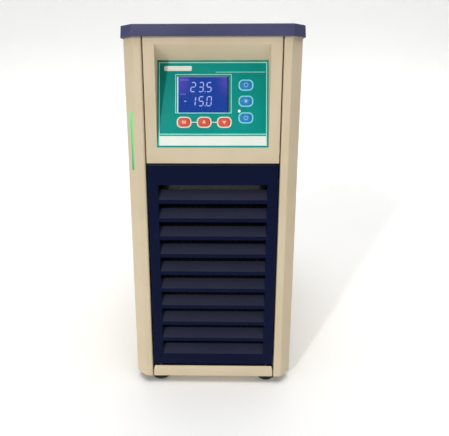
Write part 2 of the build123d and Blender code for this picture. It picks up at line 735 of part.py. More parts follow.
def key(x, s):
    """Key cap through the overlay, with the flange that keeps it in and its stem."""
    cap = Pos(x, s, -SHEET - FIT) * extrude(
        RectangleRounded(KEY_W, KEY_H, KEY_R), SHEET + FIT + OVERLAY_T + KEY_PROUD)
    cap = chamfer(cap.edges().group_by(Axis.Z)[-1], KEY_EDGE)
    flange = Pos(x, s, -SHEET - FIT - KEY_FLANGE_T) * extrude(
        RectangleRounded(KEY_W + KEY_FLANGE * 2, KEY_H + KEY_FLANGE * 2, KEY_R), KEY_FLANGE_T)
    under = SHEET + FIT + KEY_FLANGE_T
    tip = BOARD_GAP - SWITCH_H + KEY_TRAVEL
    stem = Pos(x, s, -(under + tip) / 2) * Cylinder(KEY_STEM_R, tip - under)
    return slant * (cap + flange + stem)


def power_led():
    """Round lamp with a domed head, standing on the board."""
    height = BOARD_GAP + OVERLAY_T + LED_PROUD
    lamp = Cylinder(LED_R, height, align=(Align.CENTER, Align.CENTER, Align.MIN))
    lamp = fillet(lamp.edges().group_by(Axis.Z)[-1], LED_R * 0.8)
    return lamp_place(-BOARD_GAP) * lamp


# Level gauge
def level_window():
    """Green lens in the cut corner, with a flange behind the sheet."""
    lens = extrude(SlotOverall(LEVEL_H, LEVEL_W, rotation=90), SHEET + LEVEL_PROUD)
    flange = SlotOverall(LEVEL_H + LEVEL_FLANGE * 2, LEVEL_W + LEVEL_FLANGE * 2, rotation=90)
    behind = extrude(flange, -LEVEL_FLANGE_T)
    return level_face * Pos(0, 0, -SHEET) * (lens + behind)


def sight_place():
    """Plan place of the sight tube behind the level window."""
    back = (SHEET + LEVEL_FLANGE_T + SIGHT_R + FIT) / math.sqrt(2)
    return -chamfer_mid + back, front + CORNER / 2 + back


def level_tube():
    """Clear upright tube between its two fittings."""
    x, y = sight_place()
    z = level_z - LEVEL_H / 2 - FITTING_H / 2
    height = LEVEL_H + FITTING_H
    return post(x, y, z, SIGHT_R, height) - post(x, y, z, SIGHT_BORE, height)


def fitting_levels():
    """Lower face of the bottom and of the top level fitting."""
    reach = LEVEL_H / 2 + FITTING_H / 2
    return level_z - reach - FITTING_H, level_z + reach


def level_fittings():
    """Moulded blocks at the tube's ends that turn it towards the tank."""
    x, y = sight_place()
    pieces = []
    for z in fitting_levels():
        seat = block(x - SIGHT_R, x + SIGHT_R, y - SIGHT_R + FIT, y + FITTING_D, z, z + FITTING_H)
        arm = block(x, level_hose_x + SIGHT_R + FIT, y + SIGHT_R, y + FITTING_D, z, z + FITTING_H)
        pieces.append(seat + arm)
    return Compound(children=pieces)


def level_hoses():
    """Straight hoses from the level fittings to the tank's front wall."""
    _, y = sight_place()
    pieces = []
    for z in fitting_levels():
        length = tank_front - y - FITTING_D
        at = (level_hose_x, y + FITTING_D, z + FITTING_H / 2)
        pieces.append(shaft(*at, SIGHT_R, length) - shaft(*at, SIGHT_BORE, length))
    return Compound(children=pieces)


# Deck, tank and water circuit
def deck():
    """Folded shelf across the cabinet that carries the tank and the electrics."""
    wide = side_inside - FIT
    y0, y1 = front + DECK_IN, back_inside
    shelf = block(-wide, wide, y0, y1, deck_z, deck_top)
    for x in (-wide, wide - SHEET):
        shelf += block(x, x + SHEET, y0, y1, deck_z - DECK_FLANGE, deck_z)
    return shelf - post(pump_x, suction_y, deck_z, SPIGOT_R + FIT, SHEET)


def tank_plan(grow=0.0):
    """Rounded plan outline of the tank."""
    return Pos(0, tank_y) * RectangleRounded(tank_w + grow * 2, TANK_D + grow * 2, TANK_R + grow)


def reservoir_tank():
    """Welded tank with a rim, a suction spigot below and ports for level, return and drain."""
    tank_h = tank_top - deck_top
    tank = extrude(Pos(0, 0, deck_top) * tank_plan(), tank_h)
    tank += extrude(Pos(0, 0, tank_top - TANK_T) * tank_plan(TANK_FLANGE), TANK_T)
    tank -= extrude(Pos(0, 0, deck_top + TANK_T) * tank_plan(-TANK_T), tank_h)
    tank += post(pump_x, suction_y, deck_z - SPIGOT_L, SPIGOT_R, SPIGOT_L + SHEET + TANK_T)
    tank -= post(pump_x, suction_y, deck_z - SPIGOT_L, SPIGOT_BORE, SPIGOT_L * 2)
    for z in fitting_levels():
        tank -= shaft(level_hose_x, tank_front - TANK_T, z + FITTING_H / 2, SIGHT_BORE, TANK_T * 3)
    for x, z in ((inlet_x, inlet_z), (drain_x, drain_z)):
        tank -= shaft(x, tank_rear - TANK_T * 2, z, TAIL_BORE, TANK_T * 3)
    return tank


def tank_cover():
    """Lid of the tank with its filler neck, which stands up through the cabinet's lid."""
    cover = extrude(Pos(0, 0, tank_top) * tank_plan(TANK_FLANGE), TANK_T * 1.5)
    height = OVERALL_H + CAP_RISE - tank_top
    return cover + post(0, tank_y, tank_top, NECK_R, height) - post(
        0, tank_y, tank_top, NECK_R - NECK_T, height)


def hose_tail(inner_length):
    """Hose tail: shank through the panel, hex collar, plain land and saw-tooth barbs, with a bore."""
    start = NUT_T + TAIL_LAND
    pitch = (TAIL_OUT - BARB_END - start) / BARB_COUNT
    profile = [(TAIL_BORE, -inner_length), (SHANK_R, -inner_length), (SHANK_R, 0), (TAIL_R, 0)]
    for index in range(BARB_COUNT):
        z = start + pitch * index
        profile += [(TAIL_R, z), (BARB_ROOT, z)]
    profile += [(TAIL_R, TAIL_OUT - BARB_END), (BARB_ROOT, TAIL_OUT), (TAIL_BORE, TAIL_OUT)]
    collar = extrude(RegularPolygon(NUT_R, 6), NUT_T) - Cylinder(TAIL_BORE, NUT_T * 3)
    return turned(*profile) + collar


def outlet_nozzle():
    """Delivery tail, whose shank screws up to the evaporator's water port."""
    return to_rear(tail_x, rear, outlet_z) * hose_tail(SHEET + EXCHANGER_GAP)


def inlet_nozzle():
    """Return tail, whose shank reaches the tank's rear wall."""
    return to_rear(inlet_x, rear, inlet_z) * hose_tail(TANK_BACK)


def drain_valve():
    """Plug cock low on the tank, with its body and spout outside the rear panel."""
    collar, end = NUT_T / 2, NUT_T / 2 + VALVE_L
    body = turned(
        (0, -TANK_BACK), (SHANK_R, -TANK_BACK), (SHANK_R, 0), (NUT_R, 0), (NUT_R, collar),
        (VALVE_R, collar), (VALVE_R, end), (TAIL_R, end), (TAIL_R, TAIL_OUT - TAIL_TIP),
        (TAIL_R - TAIL_TIP, TAIL_OUT), (0, TAIL_OUT))
    body = to_rear(drain_x, rear, drain_z) * body
    body += post(drain_x, valve_y, drain_z, PLUG_R + PLUG_WALL, VALVE_R + PLUG_RISE)
    body -= shaft(drain_x, tank_rear, drain_z, DRAIN_BORE, TANK_BACK + TAIL_OUT)
    return body - post(drain_x, valve_y, plug_foot(), PLUG_R + RUNNING, VALVE_R * 3)


def plug_foot():
    """Floor of the drain plug's upright bore."""
    return drain_z - VALVE_R + PLUG_FLOOR


def drain_lever():
    """Plug of the drain cock with a cross bore, closed, and the flat lever on its head."""
    foot = plug_foot() + SEAT
    head = drain_z + VALVE_R + PLUG_RISE + SEAT
    plug = post(drain_x, valve_y, foot, PLUG_R, head - foot)
    cross = Pos(drain_x, valve_y, drain_z) * Rot(0, 90, 0) * Cylinder(PLUG_BORE, PLUG_R * 4)
    arm = extrude(Pos(LEVER_L / 2, 0) * SlotCenterToCenter(LEVER_L, LEVER_W), LEVER_T)
    return plug - cross + Pos(drain_x, valve_y, head) * arm


def evaporator():
    """Brazed plate evaporator: pressed plates between two covers, with three front ports."""
    pitch = EXCHANGER_D / EXCHANGER_PLATES
    height = exchanger_z1 - exchanger_z0
    stack = []
    for index in range(EXCHANGER_PLATES):
        y = exchanger_y0 + pitch * (index + 0.5)
        inset = pitch / 4 if index % 2 else 0.0
        centre = Pos(exchanger_x, y, (exchanger_z0 + exchanger_z1) / 2)
        stack.append(centre * Box(EXCHANGER_W - inset * 2, pitch, height - inset * 2))
    body = stack[0] + stack[1:]
    for x, z in ((tail_x, feed_z), (line_x, feed_z), (line_x, outlet_z)):
        body += shaft(x, exchanger_y0 - PORT_L, z, SPIGOT_R, PORT_L)
    body -= shaft(tail_x, exchanger_y0 - PORT_L, feed_z, SPIGOT_BORE, PORT_L * 2)
    body -= shaft(tail_x, exchanger_y1 - PORT_L, outlet_z, TAIL_BORE, PORT_L * 2)
    return body + block(line_x, exchanger_x, exchanger_y1 - pitch, exchanger_y1, tray_floor,
                        exchanger_z0 + pitch)


# Circulation pump, axis along Y with its inlet to the front
def pump_housing():
    """Round casing open to the front, with a tangential outlet that points up."""
    volute_y = pump_y + VOLUTE_T
    casing = shaft(pump_x, volute_y, pump_z, VOLUTE_R, VOLUTE_L)
    boss_r = SPIGOT_R + HOSE_CLEAR * 2
    outlet_y = volute_y + VOLUTE_L / 2
    casing += post(tail_x, outlet_y, pump_z, boss_r, outlet_top - pump_z)
    casing += post(tail_x, outlet_y, pump_z, SPIGOT_R, outlet_top + SPIGOT_R - pump_z)
    casing -= shaft(pump_x, volute_y, pump_z, VOLUTE_R - VOLUTE_T, VOLUTE_L - VOLUTE_T)
    casing -= post(tail_x, outlet_y, pump_z, SPIGOT_BORE, VOLUTE_R * 2)
    casing -= shaft(pump_x, volute_y, pump_z, SHAFT_R + RUNNING, VOLUTE_L * 2)
    return casing


def pump_cover():
    """Front cover of the pump with the suction spigot."""
    cover = shaft(pump_x, pump_y, pump_z, VOLUTE_R, VOLUTE_T)
    cover += shaft(pump_x, pump_y - SPIGOT_L, pump_z, SPIGOT_R, SPIGOT_L)
    return cover - shaft(pump_x, pump_y - SPIGOT_L, pump_z, SPIGOT_BORE, SPIGOT_L * 2)


def pump_impeller():
    """Open impeller with swept vanes on its shaft."""
    radius = VOLUTE_R - VOLUTE_T - IMPELLER_GAP
    disc_y = pump_y + VOLUTE_L - IMPELLER_T - DISC_GAP
    wheel = shaft(pump_x, disc_y, pump_z, radius, IMPELLER_T)
    wheel += shaft(pump_x, disc_y - VANE_H, pump_z, SHAFT_R + VANE_T, VANE_H)
    vane = Pos(0, 0, radius * 0.58) * Rot(0, VANE_SWEEP, 0) * Box(VANE_T, VANE_H, radius * 0.7)
    for index in range(IMPELLER_VANES):
        turn = Rot(0, 360 / IMPELLER_VANES * index, 0)
        wheel += Pos(pump_x, disc_y - VANE_H / 2, pump_z) * turn * vane
    return wheel + shaft(pump_x, disc_y, pump_z, SHAFT_R, VOLUTE_T + IMPELLER_T + SHAFT_L)


def pump_motor():
    """Motor can with a bearing bore, cooling bands and a foot on the tray."""
    y0 = pump_y + VOLUTE_T + VOLUTE_L
    motor = shaft(pump_x, y0, pump_z, PUMP_MOTOR_R, PUMP_MOTOR_L)
    motor = chamfer(motor.edges().group_by(Axis.Y)[-1], VOLUTE_T)
    foot_y = (y0 + PUMP_FOOT_IN, y0 + PUMP_MOTOR_L - PUMP_FOOT_IN)
    for half, top in ((PUMP_FOOT_W / 2, tray_floor + VOLUTE_T), (PUMP_FOOT_W / 4, pump_z)):
        motor += block(pump_x - half, pump_x + half, *foot_y, tray_floor, top)
    return motor - shaft(pump_x, y0, pump_z, SHAFT_R + RUNNING, SHAFT_L + FIT)


def suction_hose():
    """Hose from the tank's spigot down to the pump's inlet."""
    route = [(pump_x, suction_y, deck_z - SEAT), (pump_x, suction_y, pump_z),
             (pump_x, pump_y - SEAT, pump_z)]
    return tube(route, HOSE_BEND, HOSE_R, HOSE_BORE + RUNNING)


def delivery_hose():
    """Hose from the pump's outlet up and back to the evaporator."""
    y = pump_y + VOLUTE_T + VOLUTE_L / 2
    route = [(tail_x, y, outlet_top + SEAT), (tail_x, y, feed_z), (tail_x, exchanger_y0 - SEAT, feed_z)]
    return tube(route, HOSE_BEND, HOSE_R, HOSE_BORE + RUNNING)


# Refrigerant circuit
def condenser():
    """Fin block between two end plates; every groove marks the space between bundles of fins."""
    half = shroud_half - END_PLATE
    y0, y1 = condenser_y0, shroud_y0
    core = block(-half, half, y0, y1, condenser_z0, condenser_z1)
    count = int((half * 2 - FIN_PITCH) / FIN_PITCH)
    for index in range(count):
        x = FIN_PITCH * (index - (count - 1) / 2)
        core -= block(x - FIN_PITCH / 4, x + FIN_PITCH / 4, y0, y0 + FIN_GROOVE, condenser_z0, condenser_z1)
    for x in (-half - END_PLATE, half):
        core += block(x, x + END_PLATE, y0, y1, tray_floor, condenser_z1)
    return core


def fan_shroud():
    """Plate behind the condenser with the fan ring and the crossed arms that hold the motor."""
    ring_r = fan_r + FAN_GAP
    shroud = block(-shroud_half, shroud_half, shroud_y0, fan_y0, tray_floor, deck_z - SEAT)
    shroud += shaft(0, shroud_y0, air_z, ring_r + SHROUD_T, SHROUD_RING)
    shroud -= shaft(0, shroud_y0, air_z, ring_r, SHROUD_RING)
    arms = shaft(0, arm_y0, air_z, ARM_DISC_R, ARM_T)
    for angle in (45, 135):
        arms += Pos(0, arm_y0 + ARM_T / 2, air_z) * Rot(0, angle, 0) * Box(
            (ring_r + SHROUD_T) * 2, ARM_T, ARM_W)
    shroud += arms - shaft(0, arm_y0, air_z, FAN_SHAFT_R * 2, ARM_T)
    for x, z in ((discharge_x, discharge_z), (line_x, liquid_z)):
        shroud -= shaft(x, shroud_y0, z, LINE_R + LINE_CLEAR, SHROUD_T)
    return shroud


def fan_motor():
    """Motor on the rear of the crossed arms."""
    y0 = arm_y0 + ARM_T
    motor = shaft(0, y0, air_z, FAN_MOTOR_R, FAN_MOTOR_L)
    motor = chamfer(motor.edges().group_by(Axis.Y)[-1], ARM_T)
    return motor - shaft(0, y0, air_z, FAN_SHAFT_R + RUNNING, FAN_MOTOR_L / 2)


def fan_section(radius, chord, angle):
    """Section of a blade at one radius, seen along the blade."""
    return Pos(0, 0, radius) * Rot(0, 0, angle) * Rectangle(chord, FAN_BLADE_T)


def fan_rotor():
    """Moulded fan: hub, shaft and blades that twist from root to tip."""
    hub_y0 = hub_y1 - FAN_HUB_L
    rotor = shaft(0, hub_y0, air_z, FAN_HUB_R, FAN_HUB_L)
    blade = loft([fan_section(FAN_HUB_R - FAN_BLADE_T, FAN_ROOT, FAN_ROOT_ANGLE),
                  fan_section(fan_r, FAN_TIP, FAN_TIP_ANGLE)])
    for index in range(FAN_BLADES):
        turn = Rot(0, 360 / FAN_BLADES * index, 0)
        rotor += Pos(0, hub_y0 + FAN_HUB_L / 2, air_z) * turn * blade
    return rotor + shaft(0, hub_y1, air_z, FAN_SHAFT_R, arm_y0 - hub_y1 + ARM_T + FAN_MOTOR_L / 3)


def ear_places():
    return [(compressor_x + EAR_X * i, compressor_y + EAR_Y * j) for i in (-1, 1) for j in (-1, 1)]


def compressor():
    """Sealed can with a welded seam and domed ends, on a plate with four rubber-mounted ears."""
    r, seam = COMPRESSOR_R, COMPRESSOR_SEAM
    height = can_top - ear_z - EAR_T
    mid = height / 2
    can = turned(
        (0, 0), (r * 0.8, 0), (r, r * 0.25), (r, mid - seam), (r + seam, mid - seam),
        (r + seam, mid + seam), (r, mid + seam), (r, height - r * 0.4), (r * 0.8, height - r * 0.12),
        (r * 0.5, height), (0, height))
    can = Pos(compressor_x, compressor_y, ear_z + EAR_T) * can
    plan = RectangleRounded((EAR_X + EAR_R) * 2, (EAR_Y + EAR_R) * 2, EAR_R)
    plate = Pos(compressor_x, compressor_y, ear_z) * extrude(plan, EAR_T)
    for x, y in ear_places():
        plate -= post(x, y, ear_z, STUD_R + FIT, EAR_T)
    for x in (discharge_x, suction_x):
        can += post(x, compressor_y, can_top - STUB_L, LINE_R + STUB_WALL, STUB_L * 2)
    return can + plate


def compressor_grommets():
    pieces = [post(x, y, tray_floor, GROMMET_R, GROMMET_H) - post(x, y, tray_floor, STUD_R, GROMMET_H)
              for x, y in ear_places()]
    return Compound(children=pieces)


def compressor_bolts():
    """Studs up from the tray through grommet and ear, each under a round nut."""
    pieces = []
    for x, y in ear_places():
        stud = post(x, y, tray_floor, STUD_R, GROMMET_H + EAR_T + STUD_CAP_H)
        pieces.append(stud + post(x, y, ear_z + EAR_T, STUD_CAP_R, STUD_CAP_H))
    return Compound(children=pieces)


def discharge_line():
    """Hot gas line from the compressor's dome up and forwards to the condenser."""
    route = [(discharge_x, compressor_y, stub_top), (discharge_x, compressor_y, discharge_z),
             (discharge_x, shroud_y0 + SEAT, discharge_z)]
    return tube(route, LINE_BEND, LINE_R)


def liquid_line():
    """Liquid line from the condenser to the drier, and on to the evaporator's lower port."""
    behind = shroud_y0 + SEAT
    turn = drier_y1 + LINE_BEND * 2
    route = [(line_x, drier_y1, liquid_z), (line_x, turn, liquid_z), (line_x, turn, feed_z),
             (line_x, exchanger_y0 - PORT_L, feed_z)]
    first = shaft(line_x, behind, liquid_z, LIQUID_R, drier_y0 - behind)
    return Compound(children=[first, tube(route, LINE_BEND, LIQUID_R)])


def suction_line():
    """Cold gas line from the evaporator's top port to the compressor."""
    route = [(line_x, exchanger_y0 - PORT_L, outlet_z), (line_x, compressor_y, outlet_z),
             (suction_x, compressor_y, outlet_z), (suction_x, compressor_y, stub_top)]
    return tube(route, LINE_BEND, LINE_R)


def filter_drier():
    """Drawn copper drier with necked ends."""
    r, neck, wide = LINE_R, DRIER_NECK, LINE_R + LINE_CLEAR
    body = turned((0, 0), (r, 0), (wide, neck / 2), (DRIER_R, neck), (DRIER_R, DRIER_L - neck),
                  (wide, DRIER_L - neck / 2), (r, DRIER_L), (0, DRIER_L))
    return to_rear(line_x, drier_y0, liquid_z) * body


# Mains and power electrics
def power_inlet():
    """Recessed mains inlet with its three pins."""
    face = back_face * Pos(-socket_x, socket_z)
    lip = RectangleRounded(SOCKET_W + SOCKET_LIP * 2, SOCKET_H + SOCKET_LIP * 2, SOCKET_LIP)
    body = extrude(lip, SOCKET_WALL)
    body += Pos(0, 0, -SOCKET_D / 2) * Box(SOCKET_W, SOCKET_H, SOCKET_D)
    cavity = SOCKET_D - SOCKET_WALL
    well = Pos(0, 0, SOCKET_WALL - cavity / 2) * Box(
        SOCKET_W - SOCKET_WALL * 2, SOCKET_H - SOCKET_WALL * 2, cavity)
    body -= well
    length = cavity - BLADE_PITCH
    for place in (-1, 0, 1):
        y = BLADE_H / 2 if place == 0 else -BLADE_H / 2
        blade = Box(BLADE_W, BLADE_H, length)
        body += Pos(BLADE_PITCH * place, y, SOCKET_WALL - cavity + length / 2) * blade
    return face * body


def rocker_switch():
    """Frame of the mains switch, with the well that its rocker turns in."""
    face = back_face * Pos(-rocker_x, socket_z)
    lip = RectangleRounded(ROCKER_W + ROCKER_LIP * 2, ROCKER_H + ROCKER_LIP * 2, ROCKER_LIP)
    body = extrude(lip, ROCKER_LIP)
    body += Pos(0, 0, -ROCKER_D / 2) * Box(ROCKER_W, ROCKER_H, ROCKER_D)
    body -= Pos(0, 0, ROCKER_LIP - ROCKER_D / 4) * Box(
        ROCKER_W - ROCKER_LIP, ROCKER_H - ROCKER_LIP, ROCKER_D / 2)
    return face * body - rocker_pin(RUNNING, ROCKER_W - ROCKER_LIP / 2)


def rocker_pin(grow, length):
    """Cross pin that the rocker turns on."""
    return Pos(rocker_x, rear - ROCKER_LIP, socket_z) * Rot(0, 90, 0) * Cylinder(PIN_R + grow, length)


def rocker():
    """Two-sided rocker at its ON tilt, on its cross pin."""
    half = (ROCKER_H - ROCKER_LIP) / 2 - ROCKER_GAP
    foot = half - ROCKER_GAP
    section = make_face(Polyline(
        (-half, ROCKER_CREST), (0, ROCKER_WAIST), (half, ROCKER_CREST), (foot, -ROCKER_SKIRT),
        (-foot, -ROCKER_SKIRT), close=True))
    width = ROCKER_W - ROCKER_LIP - FIT * 3
    plane = Plane((rocker_x, rear - ROCKER_LIP, socket_z), x_dir=(0, 0, 1), z_dir=(-1, 0, 0))
    body = extrude(plane * Rot(0, 0, ROCKER_ANGLE) * section, width / 2, both=True)
    return body + rocker_pin(0, ROCKER_W - ROCKER_LIP / 2 - FIT)


def power_board():
    """Power board on legs over the deck, with its transformer and relays."""
    y1 = tank_front - POWER_BOARD_GAP
    y0 = y1 - POWER_BOARD_D
    half = POWER_BOARD_W / 2
    top = deck_top + LEG_H + BOARD_T
    board = block(-half, half, y0, y1, deck_top + LEG_H, top)
    for x in (LEG_IN - half, half - LEG_IN):
        for y in (y0 + LEG_IN, y1 - LEG_IN):
            board += post(x, y, deck_top, STANDOFF_R, LEG_H)
    x, y = PART_IN - half, y0 + PART_IN
    board += block(x, x + TRANSFORMER, y, y + TRANSFORMER, top, top + TRANSFORMER_H)
    for index in range(RELAY_COUNT):
        x = half - PART_IN - RELAY_W - RELAY_PITCH * index
        board += block(x, x + RELAY_W, y, y + RELAY_D, top, top + RELAY_H)
    return board


def build():
    """Every piece by name."""
    pieces = {
        "base_tray": base_tray(), "rubber_feet": rubber_feet(), "foot_screws": foot_screws(),
        "left_side_panel": left_side_panel(), "right_side_panel": right_side_panel(),
        "rear_panel": rear_panel(), "rear_screws": rear_screws(), "front_fascia": front_fascia(),
        "front_grille": front_grille(), "top_cover": top_cover(), "filler_cap": filler_cap(),
        "control_overlay": control_overlay(), "lcd_window": lcd_window(), "lcd_module": lcd_module(),
        "control_board": control_board(), "board_standoffs": board_standoffs(),
        "tact_switches": tact_switches(), "power_led": power_led(), "level_window": level_window(),
        "level_tube": level_tube(), "level_fittings": level_fittings(), "level_hoses": level_hoses(),
        "deck": deck(), "reservoir_tank": reservoir_tank(), "tank_cover": tank_cover(),
        "pump_housing": pump_housing(), "pump_cover": pump_cover(), "pump_impeller": pump_impeller(),
        "pump_motor": pump_motor(), "suction_hose": suction_hose(), "delivery_hose": delivery_hose(),
        "outlet_nozzle": outlet_nozzle(), "inlet_nozzle": inlet_nozzle(), "drain_valve": drain_valve(),
        "drain_lever": drain_lever(), "evaporator": evaporator(), "compressor": compressor(),
        "compressor_grommets": compressor_grommets(), "compressor_bolts": compressor_bolts(),
        "condenser": condenser(), "fan_shroud": fan_shroud(), "fan_motor": fan_motor(),
        "fan_rotor": fan_rotor(), "discharge_line": discharge_line(), "liquid_line": liquid_line(),
        "filter_drier": filter_drier(), "suction_line": suction_line(), "power_inlet": power_inlet(),
        "rocker_switch": rocker_switch(), "rocker": rocker(), "power_board": power_board(),
    }
    for name, x, s in key_places():
        pieces[name] = key(x, s)
    return pieces


os.makedirs("parts", exist_ok=True)
for name, piece in build().items():
    export_step(piece, f"parts/{name}.step")
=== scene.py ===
"""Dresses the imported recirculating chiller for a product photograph.

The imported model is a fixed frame. Each sub-assembly below is a class that rounds the edges of its
shells, builds the small things that the frame leaves plain, and gives every piece its finish.
All sizes are in millimetres until a piece is finished, and the object stands in metres.
"""

import json
import logging
import math
from collections.abc import Iterable, Sequence
from dataclasses import dataclass, field
from enum import Enum

import bmesh
import bpy
from mathutils import Matrix, Vector


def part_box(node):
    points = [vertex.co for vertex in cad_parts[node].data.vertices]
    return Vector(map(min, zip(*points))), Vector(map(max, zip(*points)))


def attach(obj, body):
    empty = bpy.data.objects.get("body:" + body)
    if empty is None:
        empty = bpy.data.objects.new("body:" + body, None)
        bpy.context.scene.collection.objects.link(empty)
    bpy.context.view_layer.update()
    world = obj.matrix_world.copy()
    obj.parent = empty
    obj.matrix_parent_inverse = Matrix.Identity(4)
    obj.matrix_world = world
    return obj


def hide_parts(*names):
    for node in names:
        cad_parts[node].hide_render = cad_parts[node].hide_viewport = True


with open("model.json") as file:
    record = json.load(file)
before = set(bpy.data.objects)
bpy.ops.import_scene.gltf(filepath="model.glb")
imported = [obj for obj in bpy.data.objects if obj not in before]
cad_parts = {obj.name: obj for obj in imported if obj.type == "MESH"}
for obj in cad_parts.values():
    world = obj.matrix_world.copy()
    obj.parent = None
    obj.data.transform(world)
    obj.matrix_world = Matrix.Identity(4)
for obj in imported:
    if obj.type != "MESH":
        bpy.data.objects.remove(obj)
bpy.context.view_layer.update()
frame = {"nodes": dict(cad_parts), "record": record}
NODES = frame["nodes"]
SLOT_OF = {row["node"]: row["material_slot"] for row in frame["record"]["subparts"]}
BODY_OF = {
    node: body for body, nodes in frame["record"]["behaviour"]["bodies"].items() for node in nodes}

Socket = bpy.types.NodeSocket
Colour = tuple[float, float, float, float]

# Metres in a millimetre, and the body that stands still
MM = 0.001
CHASSIS = "chassis"
# Points nearer than this are merged, and faces that bend less than this are made one
MERGE_MM = 0.01
FLAT_DEGREES = 1.0
# Edges that bend more than the first are rounded, and those under the second look smooth
SHARP_DEGREES = 28.0
SMOOTH_DEGREES = 32.0
# A face looks up where its normal's height is over this
UPWARD = 0.9
# Where sRGB turns from a line into a power curve, and the slope, offset and power of the two
SRGB_KNEE, SRGB_SLOPE, SRGB_OFFSET, SRGB_POWER = 0.04045, 12.92, 0.055, 2.4
# Numbers of a Mix node's sockets for colours
MIX_SHARE, MIX_FIRST, MIX_SECOND, MIX_RESULT = 0, 6, 7, 2
# Noise levels up to which a finish shows only its shade, and from which only its main colour
SHADE_UNTIL, COLOUR_FROM = 0.3, 0.62
# The gloss wanders in patches this many times finer than the colour's
GLOSS_FINENESS = 3
# Scale along the lines of a metal's making, which draws a noise out into lines
DRAWN_OUT = 0.03

log = logging.getLogger("chiller")
handled: set[str] = set()


def linear(colour: str) -> Colour:
    """Turn an sRGB hex colour into the linear one that Blender's sockets take.

    Args:
        colour: Six hex digits after a hash sign.

    Returns:
        Linear red, green and blue, and full opacity.
    """
    parts = (int(colour[start:start + 2], 16) / 255 for start in (1, 3, 5))
    red, green, blue = (
        part / SRGB_SLOPE if part <= SRGB_KNEE
        else ((part + SRGB_OFFSET) / (1 + SRGB_OFFSET)) ** SRGB_POWER for part in parts)
    return red, green, blue, 1.0


def add_node(tree: bpy.types.NodeTree, kind: str, inputs: dict | None = None,
             **settings: str) -> bpy.types.Node:
    """Add one shader node with its settings and links.

    Args:
        tree: The material's node tree.
        kind: The node's Blender type, without its ShaderNode prefix.
        inputs: Value, or socket to link from, for each input by name or number.
        **settings: Attributes to set on the node.

    Returns:
        The new node.
    """
    node = tree.nodes.new(f"ShaderNode{kind}")
    for name, value in settings.items():
        setattr(node, name, value)
    for name, value in (inputs or {}).items():
        if isinstance(value, Socket):
            tree.links.new(value, node.inputs[name])
        else:
            node.inputs[name].default_value = value
    return node


@dataclass(frozen=True)
class Canvas:
    """Material on which a finish draws.

    Attributes:
        tree: Its node tree.
        shader: Its Principled shader.
        coords: Object coordinates, in metres.
    """

    tree: bpy.types.NodeTree
    shader: bpy.types.Node
    coords: Socket

    def feed(self, value: Socket, *inputs: str) -> None:
        """Link a value to the shader's inputs of these names."""
        for name in inputs:
            self.tree.links.new(value, self.shader.inputs[name])

    def noise(self, size_mm: float, coords: Socket | None = None, detail: float = 3.0) -> Socket:
        """Add a noise whose patches are about one size.

        Args:
            size_mm: Width of a patch.
            coords: Coordinates other than the canvas's own.
            detail: Number of finer layers.

        Returns:
            The noise's socket.
        """
        place = self.coords if coords is None else coords
        node = add_node(self.tree, "TexNoise", {
            "Vector": place, "Scale": 1 / (size_mm * MM), "Detail": detail})
        return node.outputs["Fac"]

    def axes(self, vector: Socket) -> tuple[Socket, Socket, Socket]:
        """Split a vector into its X, Y and Z."""
        return tuple(add_node(self.tree, "SeparateXYZ", {"Vector": vector}).outputs)

    def reckon(self, operation: str, *values: Socket | float) -> Socket:
        """Add a Math node.

        Args:
            operation: Blender's name for what it works out.
            *values: Its inputs in order.

        Returns:
            The result's socket.
        """
        node = add_node(self.tree, "Math", dict(enumerate(values)), operation=operation)
        return node.outputs["Value"]

    def ranged(self, value: Socket, before: tuple[float, float] = (0.0, 1.0),
               after: tuple[float, float] = (0.0, 1.0), way: str = "LINEAR") -> Socket:
        """Map one range of values to another, and stop at its ends.

        Args:
            value: What is mapped.
            before: Ends of the range that it comes from.
            after: Values at those ends.
            way: Blender's name for the way between the ends.

        Returns:
            The result's socket.
        """
        node = add_node(self.tree, "MapRange", {
            "Value": value, "From Min": before[0], "From Max": before[1], "To Min": after[0],
            "To Max": after[1]}, interpolation_type=way)
        return node.outputs["Result"]

    def mixed(self, share: Socket, first: Socket | Colour, second: Socket | Colour) -> Socket:
        """Mix two colours.

        Args:
            share: Share of the second colour.
            first: Colour where that share is 0.
            second: Colour where it is 1.

        Returns:
            The mixed colour's socket.
        """
        inputs = {MIX_SHARE: share, MIX_FIRST: first, MIX_SECOND: second}
        return add_node(self.tree, "Mix", inputs, data_type="RGBA").outputs[MIX_RESULT]


